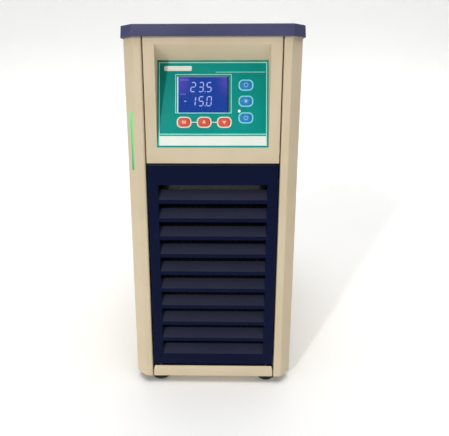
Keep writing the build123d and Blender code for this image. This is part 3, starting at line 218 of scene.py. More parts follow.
@dataclass(frozen=True)
class Finish:
    """A real material and how its surface was made.

    Attributes:
        name: Common name of the material and its making.
        colour: Main colour, sRGB hex.
        shade: Colour of its darker or worn patches, sRGB hex.
        roughness: Mean roughness.
        patch_mm: Width of the colour patches.
        grain_mm: Width of the surface's grain.
        relief_mm: Depth of that grain.
        metallic: 1 for a bare metal.
        ior: Index of refraction.
        coat: Weight of a clear coat.
        shine: Level of the mirror-like share, 0.5 for a smooth skin and less for a grained one.
        spread: How far the roughness wanders to either side of its mean.
    """

    name: str
    colour: str
    shade: str
    roughness: float = 0.5
    patch_mm: float = 60.0
    grain_mm: float = 1.0
    relief_mm: float = 0.02
    metallic: float = 0.0
    ior: float = 1.5
    coat: float = 0.0
    shine: float = 0.5
    spread: float = 0.05

    def material(self) -> bpy.types.Material:
        """Find the finish's material, or make it on its first use.

        Returns:
            The material, which all pieces of this finish share.
        """
        known = bpy.data.materials.get(self.name)
        if known:
            return known
        made = bpy.data.materials.new(self.name)
        made.use_nodes = True
        tree = made.node_tree
        tree.nodes.clear()
        shader = add_node(tree, "BsdfPrincipled", {
            "Base Color": linear(self.colour), "Roughness": self.roughness,
            "Metallic": self.metallic, "IOR": self.ior, "Coat Weight": self.coat,
            "Specular IOR Level": self.shine})
        add_node(tree, "OutputMaterial", {"Surface": shader.outputs["BSDF"]})
        self.surface(Canvas(tree, shader, add_node(tree, "TexCoord").outputs["Object"]))
        return made

    def tint(self, canvas: Canvas) -> None:
        """Let the colour drift between the main one and its shade.

        Args:
            canvas: The material to draw on.
        """
        drift = add_node(canvas.tree, "ValToRGB", {"Fac": canvas.noise(self.patch_mm)})
        low, high = drift.color_ramp.elements
        low.position, low.color = SHADE_UNTIL, linear(self.shade)
        high.position, high.color = COLOUR_FROM, linear(self.colour)
        canvas.feed(drift.outputs["Color"], "Base Color")

    def relief(self, canvas: Canvas, height: Socket) -> None:
        """Raise the grain on the surface.

        Args:
            canvas: The material to draw on.
            height: The grain's height, from 0 to 1.
        """
        bump = add_node(canvas.tree, "Bump", {
            "Height": height, "Distance": self.relief_mm * MM, "Strength": 1.0})
        canvas.feed(bump.outputs["Normal"], "Normal")

    def gloss(self, canvas: Canvas, pattern: Socket) -> None:
        """Let the roughness wander about its mean, as a pattern says."""
        ends = (self.roughness - self.spread, self.roughness + self.spread)
        canvas.feed(canvas.ranged(pattern, after=ends), "Roughness")

    def surface(self, canvas: Canvas) -> None:
        """Draw the colour, grain and gloss of a sprayed or moulded surface.

        Args:
            canvas: The material to draw on.
        """
        self.tint(canvas)
        self.relief(canvas, canvas.noise(self.grain_mm))
        self.gloss(canvas, canvas.noise(self.patch_mm / GLOSS_FINENESS))


@dataclass(frozen=True)
class Moulding(Finish):
    """Moulded plastic whose faces that look up are painted paler, a painted sheen standing in for the
    light they catch from above.

    Attributes:
        painted_sheen: Colour painted on the faces that look up, a painted sheen for the light from
            above, sRGB hex.
        tilt: Heights of the normal where the painted sheen starts, and where it is full.
        faintest_sheen: Share of the painted sheen where its noise is lowest.
    """

    spread: float = 0.04
    # Painted sheen: paler colour on faces that look up, standing in for light from above
    painted_sheen: str = "#3A3C46"
    tilt: tuple[float, float] = (0.2, 0.5)
    faintest_sheen: float = 0.7

    def tint(self, canvas: Canvas) -> None:
        """Paint the paler sheen on the sloping faces, in place of the light they catch from above.

        Args:
            canvas: The material to draw on.
        """
        normal = add_node(canvas.tree, "TexCoord").outputs["Normal"]
        # Painted sheen: the more a face looks up, the more of the pale colour it gets, thinned in
        # patches by a noise
        facing_up = canvas.ranged(canvas.axes(normal)[2], before=self.tilt)
        worn = canvas.ranged(canvas.noise(self.patch_mm), after=(self.faintest_sheen, 1.0))
        share = canvas.reckon("MULTIPLY", facing_up, worn)
        canvas.feed(canvas.mixed(share, linear(self.colour), linear(self.painted_sheen)), "Base Color")


class Lay(Enum):
    """Direction of the fine lines that a metal's making leaves, as scales along X, Y and Z."""

    ALONG_X = (DRAWN_OUT, 1.0, 1.0)
    ALONG_Z = (1.0, 1.0, DRAWN_OUT)
    EVEN = (1.0, 1.0, 1.0)


@dataclass(frozen=True)
class Metal(Finish):
    """Bare metal with the lines of its rolling, drawing or turning.

    Attributes:
        lay: Direction of those lines.
    """

    metallic: float = 1.0
    spread: float = 0.12
    lay: Lay = Lay.EVEN

    def surface(self, canvas: Canvas) -> None:
        """Draw stained patches and the lines of the making.

        Args:
            canvas: The material to draw on.
        """
        self.tint(canvas)
        laid = add_node(canvas.tree, "Mapping", {"Vector": canvas.coords, "Scale": self.lay.value})
        lines = canvas.noise(self.grain_mm, laid.outputs["Vector"], detail=2.0)
        self.relief(canvas, lines)
        self.gloss(canvas, lines)


@dataclass(frozen=True)
class Clear(Finish):
    """See-through plastic.

    Attributes:
        transmission: Share of the light that passes.
    """

    transmission: float = 1.0

    def surface(self, canvas: Canvas) -> None:
        """Let the light through, with the faint waviness of a moulded sheet."""
        canvas.shader.inputs["Transmission Weight"].default_value = self.transmission
        self.relief(canvas, canvas.noise(self.grain_mm))


@dataclass(frozen=True)
class Glow(Finish):
    """Surface that gives light of its own.

    Attributes:
        strength: Strength of the light.
        ground: Colour of the surface behind that light, sRGB hex.
    """

    strength: float = 1.0
    ground: str = "#06080E"

    def surface(self, canvas: Canvas) -> None:
        """Light the surface, a little unevenly, over a nearly black ground.

        Args:
            canvas: The material to draw on.
        """
        self.tint(canvas)
        base = canvas.shader.inputs["Base Color"]
        link = base.links[0]
        canvas.feed(link.from_socket, "Emission Color")
        canvas.tree.links.remove(link)
        base.default_value = linear(self.ground)
        canvas.shader.inputs["Emission Strength"].default_value = self.strength


@dataclass(frozen=True)
class Backlight(Glow):
    """Display field with a violet painted reflection in its upper corners.

    Attributes:
        painted_reflection: Colour of the painted reflection in those corners, sRGB hex.
        middle_mm: Middle of the field across the panel.
        rise_mm: Height where the painted reflection starts, and where it is full.
        aside_mm: Distance from the middle where it starts, and where it is full.
    """

    # Painted reflection: violet laid on the field's upper corners
    painted_reflection: str = "#5547BE"
    middle_mm: float = -11.0
    rise_mm: tuple[float, float] = (404.0, 432.0)
    aside_mm: tuple[float, float] = (12.0, 33.0)

    def tint(self, canvas: Canvas) -> None:
        """Mix the blue field with the painted violet reflection of its corners.

        Args:
            canvas: The material to draw on.
        """
        x, _, z = canvas.axes(canvas.coords)
        aside = canvas.reckon("ABSOLUTE", canvas.reckon("SUBTRACT", x, self.middle_mm * MM))
        edge, top = (
            canvas.ranged(value, before=(start * MM, full * MM), way="SMOOTHSTEP")
            for value, (start, full) in ((aside, self.aside_mm), (z, self.rise_mm)))
        blue = canvas.mixed(canvas.noise(self.patch_mm), linear(self.shade), linear(self.colour))
        corner = canvas.reckon("MULTIPLY", edge, top)
        canvas.feed(canvas.mixed(corner, blue, linear(self.painted_reflection)), "Base Color")


@dataclass(frozen=True)
class Column(Finish):
    """Green lens over a sight tube, with painted light at its rim and top and painted shade in a core
    that darkens downwards.

    Attributes:
        painted_shade: Colour of the painted shade in the core at its foot, sRGB hex.
        span_mm: Heights of the lens's foot and top.
        axis_mm: Place of the lens's middle line, x and y.
        core_mm: Half widths where the core ends, and where the rim is clear of it.
        rim_share: Share of the core's painted shade that reaches the rim.
        strength: Strength of the painted glow, which stands in for the daylight that the lens passes
            on.
    """

    # Painted shade: colour of the core at the lens's foot
    painted_shade: str = "#1C6B3A"
    span_mm: tuple[float, float] = (316.0, 393.0)
    axis_mm: tuple[float, float] = (-105.1, -208.0)
    core_mm: tuple[float, float] = (0.6, 2.4)
    rim_share: float = 0.25
    strength: float = 0.22

    def tint(self, canvas: Canvas) -> None:
        """Paint shade into the core, darker towards the foot of the lens, which faces out halfway
        between -X and -Y.

        Args:
            canvas: The material to draw on.
        """
        x, y, z = canvas.axes(canvas.coords)
        middle = (self.axis_mm[0] - self.axis_mm[1]) * MM
        across = canvas.reckon("SUBTRACT", canvas.reckon("SUBTRACT", x, y), middle)
        near, far = (width * math.sqrt(2) * MM for width in self.core_mm)
        core = canvas.ranged(canvas.reckon("ABSOLUTE", across), before=(near, far),
                             after=(1.0, self.rim_share), way="SMOOTHSTEP")
        foot, top = (height * MM for height in self.span_mm)
        depth = canvas.ranged(z, before=(foot, top), after=(1.0, 0.0))
        share = canvas.reckon("MULTIPLY", core, depth)
        colour = canvas.mixed(share, linear(self.colour), linear(self.painted_shade))
        # Painted light: the lens glows in its own colours, though it is no lamp
        canvas.feed(colour, "Base Color", "Emission Color")
        canvas.shader.inputs["Emission Strength"].default_value = self.strength


# Epoxy-polyester powder baked on steel: a soft sheen over orange peel 1.6 mm wide
POWDER = Finish("beige_powder_coated_steel", "#D8C8AB", "#D2C1A2", roughness=0.5, grain_mm=1.6,
                relief_mm=0.012, patch_mm=70, shine=0.3)
# ABS from a spark-eroded mould: dull, with a grain of about a millimetre
LID_ABS = Finish("violet_blue_moulded_abs", "#4C4C70", "#444468", roughness=0.5, grain_mm=0.9,
                 relief_mm=0.02, patch_mm=50, shine=0.3)
# ABS again, navy, whose sloping blades are painted paler grey: a painted sheen for the light they catch
# from above
GRILLE_ABS = Moulding("navy_moulded_abs", "#06102E", "#06102E", roughness=0.42, grain_mm=0.8,
                      relief_mm=0.015, patch_mm=40, painted_sheen="#2C2E40", shine=0.07)
# Natural rubber from a plain mould: nearly black, no shine
FOOT_RUBBER = Finish("black_moulded_rubber", "#141414", "#1D1D1C", roughness=0.78, grain_mm=1.2,
                     relief_mm=0.03, patch_mm=15)
# Polyester sheet printed from behind: even colour under a satin skin
FILM = Finish("sea_green_printed_polyester", "#05938A", "#048B82", roughness=0.5, grain_mm=0.7,
              relief_mm=0.004, patch_mm=40, shine=0.12)
# Screen inks: thin, opaque and satin
MINT_INK = Finish("mint_screen_ink", "#A4F2E2", "#98EAD8", roughness=0.4, patch_mm=30)
WHITE_INK = Finish("white_screen_ink", "#EEF3EA", "#E6EEE3", roughness=0.4, patch_mm=30)
CREAM_INK = Finish("cream_screen_ink", "#EDEBD2", "#E4E3C6", roughness=0.4, patch_mm=20)
SKY_INK = Finish("sky_blue_screen_ink", "#8CE6F4", "#80DCEE", roughness=0.4, patch_mm=20)
# Tinted silicone resin keys: satin, with a low dome
BLUE_KEY = Finish("blue_moulded_silicone", "#1483C2", "#117AB8", roughness=0.42, grain_mm=0.8,
                  relief_mm=0.01, patch_mm=12, coat=0.2)
RED_KEY = Finish("red_moulded_silicone", "#DE5143", "#D4483B", roughness=0.42, grain_mm=0.8,
                 relief_mm=0.01, patch_mm=12, coat=0.2)
# Inks printed on the keys
PALE_MARK = Finish("pale_blue_key_ink", "#A8D8F6", "#98CCF0", roughness=0.4, patch_mm=8)
AMBER_MARK = Finish("amber_key_ink", "#FFD9A8", "#FBC88E", roughness=0.4, patch_mm=8)
# Acrylic window, polished, which glares less than its index says
LENS = Clear("clear_cast_acrylic", "#F4F8FF", "#F4F8FF", roughness=0.03, grain_mm=20,
             relief_mm=0.002, ior=1.49, shine=0.1)
# Soft PVC tube, drawn: faintly green and wavy
TUBE = Clear("clear_drawn_pvc", "#E6F4E8", "#E6F4E8", roughness=0.12, grain_mm=4, relief_mm=0.01,
             ior=1.53, transmission=0.85)
# Backlit liquid crystal cell: dark blue field with a violet painted reflection in its upper corners,
# pale figures
CELL = Backlight("blue_backlit_display", "#0744A4", "#043A9C", roughness=0.5, patch_mm=24,
                 strength=0.95, shine=0.05)
DIGIT = Glow("pale_display_figures", "#C9D2FF", "#B4C0FA", roughness=0.4, patch_mm=5)
DIM_FIGURE = Glow("dim_display_legends", "#7A7FD8", "#6870CC", roughness=0.4, patch_mm=5, strength=0.8)
GUIDE = Glow("lit_edge_of_light_guide", "#CFF4FF", "#BEEAFB", roughness=0.3, patch_mm=10)
# Green polystyrene moulding over the sight tube, with painted shade in its core and a painted glow
GAUGE = Column("green_moulded_styrene", "#7FE08C", "#7FE08C", roughness=0.3, grain_mm=3, relief_mm=0.01,
               coat=0.3)
# Black strip painted as the display frame's shadow, tinned steel round the display, and the lamp's
# frosted resin
SHADOW_EDGE = Finish("painted_display_frame_shadow", "#0A1030", "#0C1236", roughness=0.6, patch_mm=10)
BEZEL = Finish("black_tinned_bezel", "#0B1524", "#0E1A2C", roughness=0.35, patch_mm=10)
LAMP = Glow("pink_white_lamp_resin", "#FFE0F0", "#FFD2E8", roughness=0.25, patch_mm=3, strength=1.6)
# Electroplated steel: bright, a little yellow where the passivation is thick
ZINC = Metal("zinc_plated_steel", "#C9CBC8", "#BDBFB6", roughness=0.34, grain_mm=2.5, relief_mm=0.01,
             patch_mm=30)
# Stainless sheet brushed from side to side
STAINLESS = Metal("brushed_stainless_steel", "#C9C7C2", "#BDBBB5", roughness=0.3, grain_mm=0.7,
                  relief_mm=0.008, patch_mm=80, lay=Lay.ALONG_X)
# Copper tube, browned in patches by the torch
COPPER = Metal("drawn_copper_tube", "#C9805A", "#A9623F", roughness=0.32, grain_mm=1.2,
               relief_mm=0.01, patch_mm=25)
# Brass off the lathe, polished by its tool
BRASS = Metal("turned_brass", "#D6B268", "#C7A25A", roughness=0.27, grain_mm=0.6, relief_mm=0.012,
              patch_mm=14)
# Aluminium foil pressed into fins, its lines upright
FINS = Metal("pressed_aluminium_fins", "#C7CACC", "#A9ADB0", roughness=0.38, grain_mm=1.8,
             relief_mm=0.08, patch_mm=40, lay=Lay.ALONG_Z)
# The condenser's fins again, painted near black: painted shade for the dark behind the grille
SHADE_BLACK_FINS = Finish("condenser_fins_painted_black_for_shade", "#040405", "#060607", roughness=0.6, grain_mm=1.8,
                     relief_mm=0.05, patch_mm=40, shine=0.1)
# Nylon from a fine-grained mould
NYLON = Finish("black_moulded_nylon", "#17181A", "#1E2022", roughness=0.5, grain_mm=0.9,
               relief_mm=0.02, patch_mm=20)
# Stoving enamel on steel: glossy, with a slow wave
ENAMEL = Finish("black_enamelled_steel", "#101113", "#17181A", roughness=0.28, grain_mm=3.0,
                relief_mm=0.02, patch_mm=40, coat=0.3)
# Glass-fibre laminate under green solder resist
BOARD = Finish("green_fibreglass_board", "#1C6A3A", "#175C32", roughness=0.4, grain_mm=0.8,
               relief_mm=0.01, patch_mm=8, coat=0.2)
# Matt card, which shows no grain at this distance
STUDIO_PAPER = Finish("white_backdrop_paper", "#FBFBFA", "#F7F7F6", roughness=0.85, grain_mm=4,
                      relief_mm=0.02, patch_mm=900)

FINISH_OF_SLOT = {
    "cabinet_paint": POWDER, "lid_plastic": LID_ABS, "grille_plastic": GRILLE_ABS,
    "rubber": FOOT_RUBBER, "overlay_print": FILM, "clear_lens": LENS, "display": BEZEL,
    "key_blue": BLUE_KEY, "key_red": RED_KEY, "lamp": LAMP, "board": BOARD, "zinc_steel": ZINC,
    "stainless": STAINLESS, "copper": COPPER, "brass": BRASS, "fins": FINS,
    "black_plastic": NYLON, "black_paint": ENAMEL, "level_green": GAUGE, "clear_tube": TUBE,
}
# Nodes that look otherwise than their slot's other pieces
# The condenser takes the black fins, painted shade for the dark behind the grille
FINISH_OF_NODE = {"condenser": SHADE_BLACK_FINS, "fan_shroud": ENAMEL}


def finish_of(node: str) -> Finish:
    """Return a node's finish: its slot's own, unless the node has one."""
    return FINISH_OF_NODE.get(node, FINISH_OF_SLOT[SLOT_OF[node]])


def dress(*nodes: str) -> None:
    """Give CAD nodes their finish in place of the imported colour.

    Args:
        *nodes: The nodes, whose shapes stay as they are.
    """
    for node in nodes:
        finish = finish_of(node)
        handled.add(node)
        materials = NODES[node].data.materials
        materials.clear()
        materials.append(finish.material())
        log.info("%s dressed in %s", node, finish.name)


def make_object(name: str, mesh: bmesh.types.BMesh, finish: Finish) -> bpy.types.Object:
    """Make an object that looks smooth but for its sharp edges.

    Args:
        name: The object's name.
        mesh: Its mesh, in millimetres, freed here.
        finish: Its finish.

    Returns:
        The object, in metres and in the scene.
    """
    bmesh.ops.transform(mesh, matrix=Matrix.Scale(MM, 4), verts=mesh.verts)
    for face in mesh.faces:
        face.smooth = True
    for edge in mesh.edges:
        edge.smooth = edge.calc_face_angle(0.0) < math.radians(SMOOTH_DEGREES)
    data = bpy.data.meshes.new(name)
    mesh.to_mesh(data)
    mesh.free()
    data.materials.append(finish.material())
    made = bpy.data.objects.new(name, data)
    bpy.context.scene.collection.objects.link(made)
    return made


def add_piece(name: str, mesh: bmesh.types.BMesh, finish: Finish, body: str = CHASSIS,
              stands_for: Sequence[str] = ()) -> None:
    """Make a piece of the chiller and attach it to its body.

    Args:
        name: Name of the new piece.
        mesh: Its mesh, in millimetres, freed here.
        finish: Its finish.
        body: The body it rides on.
        stands_for: CAD nodes that it replaces.
    """
    piece = make_object(name, mesh, finish)
    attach(piece, body)
    if stands_for:
        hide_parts(*stands_for)
        handled.update(stands_for)
    log.info("%s made in %s, %d faces", name, finish.name, len(piece.data.polygons))


def merged_copy(node: str) -> bmesh.types.BMesh:
    """Copy a CAD node's mesh, with its doubles merged and its flats made whole.

    Args:
        node: The CAD node.

    Returns:
        The mesh, in millimetres.
    """
    mesh = bmesh.new()
    mesh.from_mesh(NODES[node].data)
    bmesh.ops.transform(mesh, matrix=Matrix.Scale(1 / MM, 4), verts=mesh.verts)
    bmesh.ops.remove_doubles(mesh, verts=mesh.verts, dist=MERGE_MM)
    bmesh.ops.dissolve_limit(mesh, angle_limit=math.radians(FLAT_DEGREES), verts=mesh.verts,
                             edges=mesh.edges)
    return mesh


def bevel_edges(mesh: bmesh.types.BMesh, edges: Iterable[bmesh.types.BMEdge], width: float,
                segments: int = 2) -> None:
    """Round some edges of a mesh.

    Args:
        mesh: The mesh, in millimetres.
        edges: The edges.
        width: Offset of the bevel from each edge.
        segments: Steps over the round.
    """
    bmesh.ops.bevel(mesh, geom=list(edges), offset=width, affect="EDGES", segments=segments,
                    profile=0.5, material=-1, clamp_overlap=True)


def soften(node: str, width: float, shortest: float = 6.0) -> None:
    """Put a copy with rounded edges in a rigid node's place.

    Args:
        node: The CAD node.
        width: Offset of the bevel.
        shortest: Edges under this length stay sharp, so that small holes keep their form.
    """
    mesh = merged_copy(node)
    sharp = [edge for edge in mesh.edges if edge.is_manifold and edge.calc_length() > shortest
             and edge.calc_face_angle() > math.radians(SHARP_DEGREES)]
    bevel_edges(mesh, sharp, width)
    add_piece(f"{node}_shell", mesh, finish_of(node), BODY_OF[node], [node])


def flat_plate(width: float, height: float, radius: float = 0.0, steps: int = 5) -> bmesh.types.BMesh:
    """Make one face in the XY plane about the origin.

    Args:
        width: Size along X.
        height: Size along Y.
        radius: Radius of the corners.
        steps: Steps over each corner's round.

    Returns:
        The face's mesh.
    """
    mesh = bmesh.new()
    bmesh.ops.create_grid(mesh, x_segments=1, y_segments=1, size=0.5)
    bmesh.ops.scale(mesh, vec=(width, height, 1), verts=mesh.verts)
    if radius:
        bmesh.ops.bevel(mesh, geom=mesh.verts[:], offset=radius, affect="VERTICES", segments=steps,
                        profile=0.5, material=-1)
    return mesh


def thicken(mesh: bmesh.types.BMesh, depth: float) -> bmesh.types.BMesh:
    """Turn flat faces in the XY plane into a closed plate that rises from it.

    Args:
        mesh: Flat mesh, changed in place.
        depth: Height of the plate.

    Returns:
        The same mesh.
    """
    bottom = mesh.faces[:]
    made = bmesh.ops.extrude_face_region(mesh, geom=bottom, use_keep_orig=True)
    top = [item for item in made["geom"] if isinstance(item, bmesh.types.BMVert)]
    bmesh.ops.translate(mesh, vec=(0, 0, depth), verts=top)
    bmesh.ops.recalc_face_normals(mesh, faces=mesh.faces)
    return mesh


def border(mesh: bmesh.types.BMesh, wall: float) -> bmesh.types.BMesh:
    """Keep only a rim of one flat face, its outer edge in place.

    Args:
        mesh: Mesh of the one face, changed in place.
        wall: Width of the rim.

    Returns:
        The same mesh.
    """
    middle = mesh.faces[:]
    bmesh.ops.inset_region(mesh, faces=middle, thickness=wall, use_boundary=True, use_even_offset=True)
    bmesh.ops.delete(mesh, geom=middle, context="FACES")
    return mesh


def join(*meshes: bmesh.types.BMesh) -> bmesh.types.BMesh:
    """Put several meshes into one.

    Args:
        *meshes: The meshes, freed here.

    Returns:
        The whole mesh.
    """
    whole = bmesh.new()
    for mesh in meshes:
        data = bpy.data.meshes.new("joined")
        mesh.to_mesh(data)
        mesh.free()
        whole.from_mesh(data)
        bpy.data.meshes.remove(data)
    return whole


def moved(mesh: bmesh.types.BMesh, *place: float | Matrix) -> bmesh.types.BMesh:
    """Move a mesh.

    Args:
        mesh: The mesh, changed in place.
        *place: Steps along X, Y and Z, or one matrix.

    Returns:
        The same mesh.
    """
    matrix = place[0] if isinstance(place[0], Matrix) else Matrix.Translation(place)
    bmesh.ops.transform(mesh, matrix=matrix, verts=mesh.verts)
    return mesh


@dataclass
class Cabinet:
    """Folded steel body: tray, sides, rear sheet and fascia, with the screws at the rear."""

    fold_mm: float = 0.35
    screw_head_mm: float = 3.4
    screw_recess_mm: float = 1.9
    screw_slot_mm: float = 0.7
    screw_print_mm: float = 0.04
    screw_turn_degrees: float = 20.0

    def build(self) -> None:
        """Round the cut edges of the sheets and fit the screws."""
        for node in ("left_side_panel", "right_side_panel", "front_fascia", "base_tray", "rear_panel"):
            soften(node, self.fold_mm)
        self.screws()

    def screws(self) -> None:
        """Dress the screws and put a cross recess on each rear head."""
        dress("rear_screws", "foot_screws")
        low, high = (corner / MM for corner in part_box("rear_screws"))
        reach = self.screw_head_mm
        rows = (low.z + reach, (low.z + high.z) / 2, high.z - reach)
        facing_back = Matrix.Rotation(math.radians(-90), 4, "X")
        bars = []
        for x in (low.x + reach, high.x - reach):
            for z in rows:
                for quarter in (0, 90):
                    bar = flat_plate(self.screw_recess_mm * 2, self.screw_slot_mm)
                    turn = Matrix.Rotation(math.radians(quarter + self.screw_turn_degrees), 4, "Z")
                    spot = Matrix.Translation((x, high.y, z)) @ facing_back @ turn
                    bars.append(moved(thicken(bar, self.screw_print_mm), spot))
        add_piece("rear_screw_recesses", join(*bars), NYLON)


@dataclass
class Lid:
    """Moulded lid and the cap that lifts out of its middle."""

    edge_mm: float = 0.6
    cap_edge_mm: float = 0.4
    cap_shortest_mm: float = 3.0

    def build(self) -> None:
        """Round the edges of the lid and the cap."""
        soften("top_cover", self.edge_mm)
        soften("filler_cap", self.cap_edge_mm, self.cap_shortest_mm)


@dataclass
class Grille:
    """Moulded front grille with its sloping blades."""

    edge_mm: float = 0.5
    shortest_mm: float = 4.0

    def build(self) -> None:
        """Round the blades' long edges."""
        soften("front_grille", self.edge_mm, self.shortest_mm)


class Mark(Enum):
    """What is printed on each key, by the key's node."""

    PUMP = "key_pump"
    COOLING = "key_cooling"
    POWER = "key_power"
    SET = "key_set"
    UP = "key_up"
    DOWN = "key_down"


@dataclass(frozen=True)
class Patch:
    """Upright rectangle on the panel, between two places across and two up the slope."""

    left: float
    right: float
    low: float
    high: float

    def plate(self, radius: float = 0.0) -> bmesh.types.BMesh:
        """Return the patch as one face, about the panel's own zero."""
        mesh = flat_plate(self.right - self.left, self.high - self.low, radius)
        return moved(mesh, (self.left + self.right) / 2, (self.low + self.high) / 2, 0)


@dataclass(frozen=True)
class Readout:
    """One line of seven-segment figures.

    Attributes:
        text: Digits, minus sign and decimal point.
        last_x: Middle of the last digit.
        s: Middle of the line up the slope.
    """

    text: str
    last_x: float
    s: float


# Segments that each sign lights, and each one's place in half widths and half heights, and turn
SEGMENTS = {"0": "abcdef", "1": "bc", "2": "abged", "3": "abgcd", "5": "afgcd", "-": "g"}
SEGMENT_PLACES = {
    "a": (0, 1, 0), "b": (1, 0.5, 90), "c": (1, -0.5, 90), "d": (0, -1, 0), "e": (-1, -0.5, 90),
    "f": (-1, 0.5, 90), "g": (0, 0, 0)}


@dataclass(frozen=True)
class Pictograms:
    """Marks printed on the keys, as flat faces about their middle."""

    stroke_mm: float = 0.8
    arrow_radius_mm: float = 2.9
    menu_width_mm: float = 5.6
    menu_pitch_mm: float = 1.3
    star_mm: float = 6.0
    star_arms: int = 3
    circle_radii_mm: tuple[float, float] = (2.2, 2.9)
    circle_steps: int = 20
    power_gap_degrees: float = 60.0
    power_bar_mm: float = 2.6
    power_bar_rise_mm: float = 1.6

    def arrow(self, turn: float) -> bmesh.types.BMesh:
        """Draw a triangle.

        Args:
            turn: Degrees from pointing up.

        Returns:
            The triangle's mesh.
        """
        mesh = bmesh.new()
        bmesh.ops.create_circle(mesh, cap_ends=True, segments=3, radius=self.arrow_radius_mm)
        return moved(mesh, Matrix.Rotation(math.radians(turn), 4, "Z"))

    def menu(self) -> bmesh.types.BMesh:
        """Return three lines above each other."""
        size = self.menu_width_mm, self.stroke_mm
        return join(*(moved(flat_plate(*size), 0, self.menu_pitch_mm * row, 0) for row in (-1, 0, 1)))

    def star(self) -> bmesh.types.BMesh:
        """Return bars crossed like a snow crystal."""
        turns = (math.radians(180 / self.star_arms * arm) for arm in range(self.star_arms))
        return join(*(moved(flat_plate(self.star_mm, self.stroke_mm), Matrix.Rotation(turn, 4, "Z"))
                      for turn in turns))

    def circle(self, gap: float = 0.0) -> bmesh.types.BMesh:
        """Spin a ring, open at its top where it has a gap.

        Args:
            gap: Width of the gap in degrees.

        Returns:
            The ring's mesh.
        """
        mesh = bmesh.new()
        ends = [mesh.verts.new((0, radius, 0)) for radius in self.circle_radii_mm]
        start = Matrix.Rotation(math.radians(gap / 2), 3, "Z")
        bmesh.ops.rotate(mesh, verts=ends, cent=(0, 0, 0), matrix=start)
        across = mesh.edges.new(ends)
        bmesh.ops.spin(mesh, geom=ends + [across], axis=(0, 0, 1), cent=(0, 0, 0),
                       angle=math.radians(360 - gap), steps=self.circle_steps, use_merge=gap == 0)
        return mesh

    def faces(self, mark: Mark) -> bmesh.types.BMesh:
        """Draw one key's pictogram.

        Args:
            mark: Which key.

        Returns:
            The pictogram's mesh.
        """
        match mark:
            case Mark.UP:
                return self.arrow(0)
            case Mark.DOWN:
                return self.arrow(180)
            case Mark.SET:
                return self.menu()
            case Mark.COOLING:
                return self.star()
            case Mark.PUMP:
                return self.circle()
            case Mark.POWER:
                bar = moved(flat_plate(self.stroke_mm, self.power_bar_mm), 0, self.power_bar_rise_mm, 0)
                return join(self.circle(self.power_gap_degrees), bar)


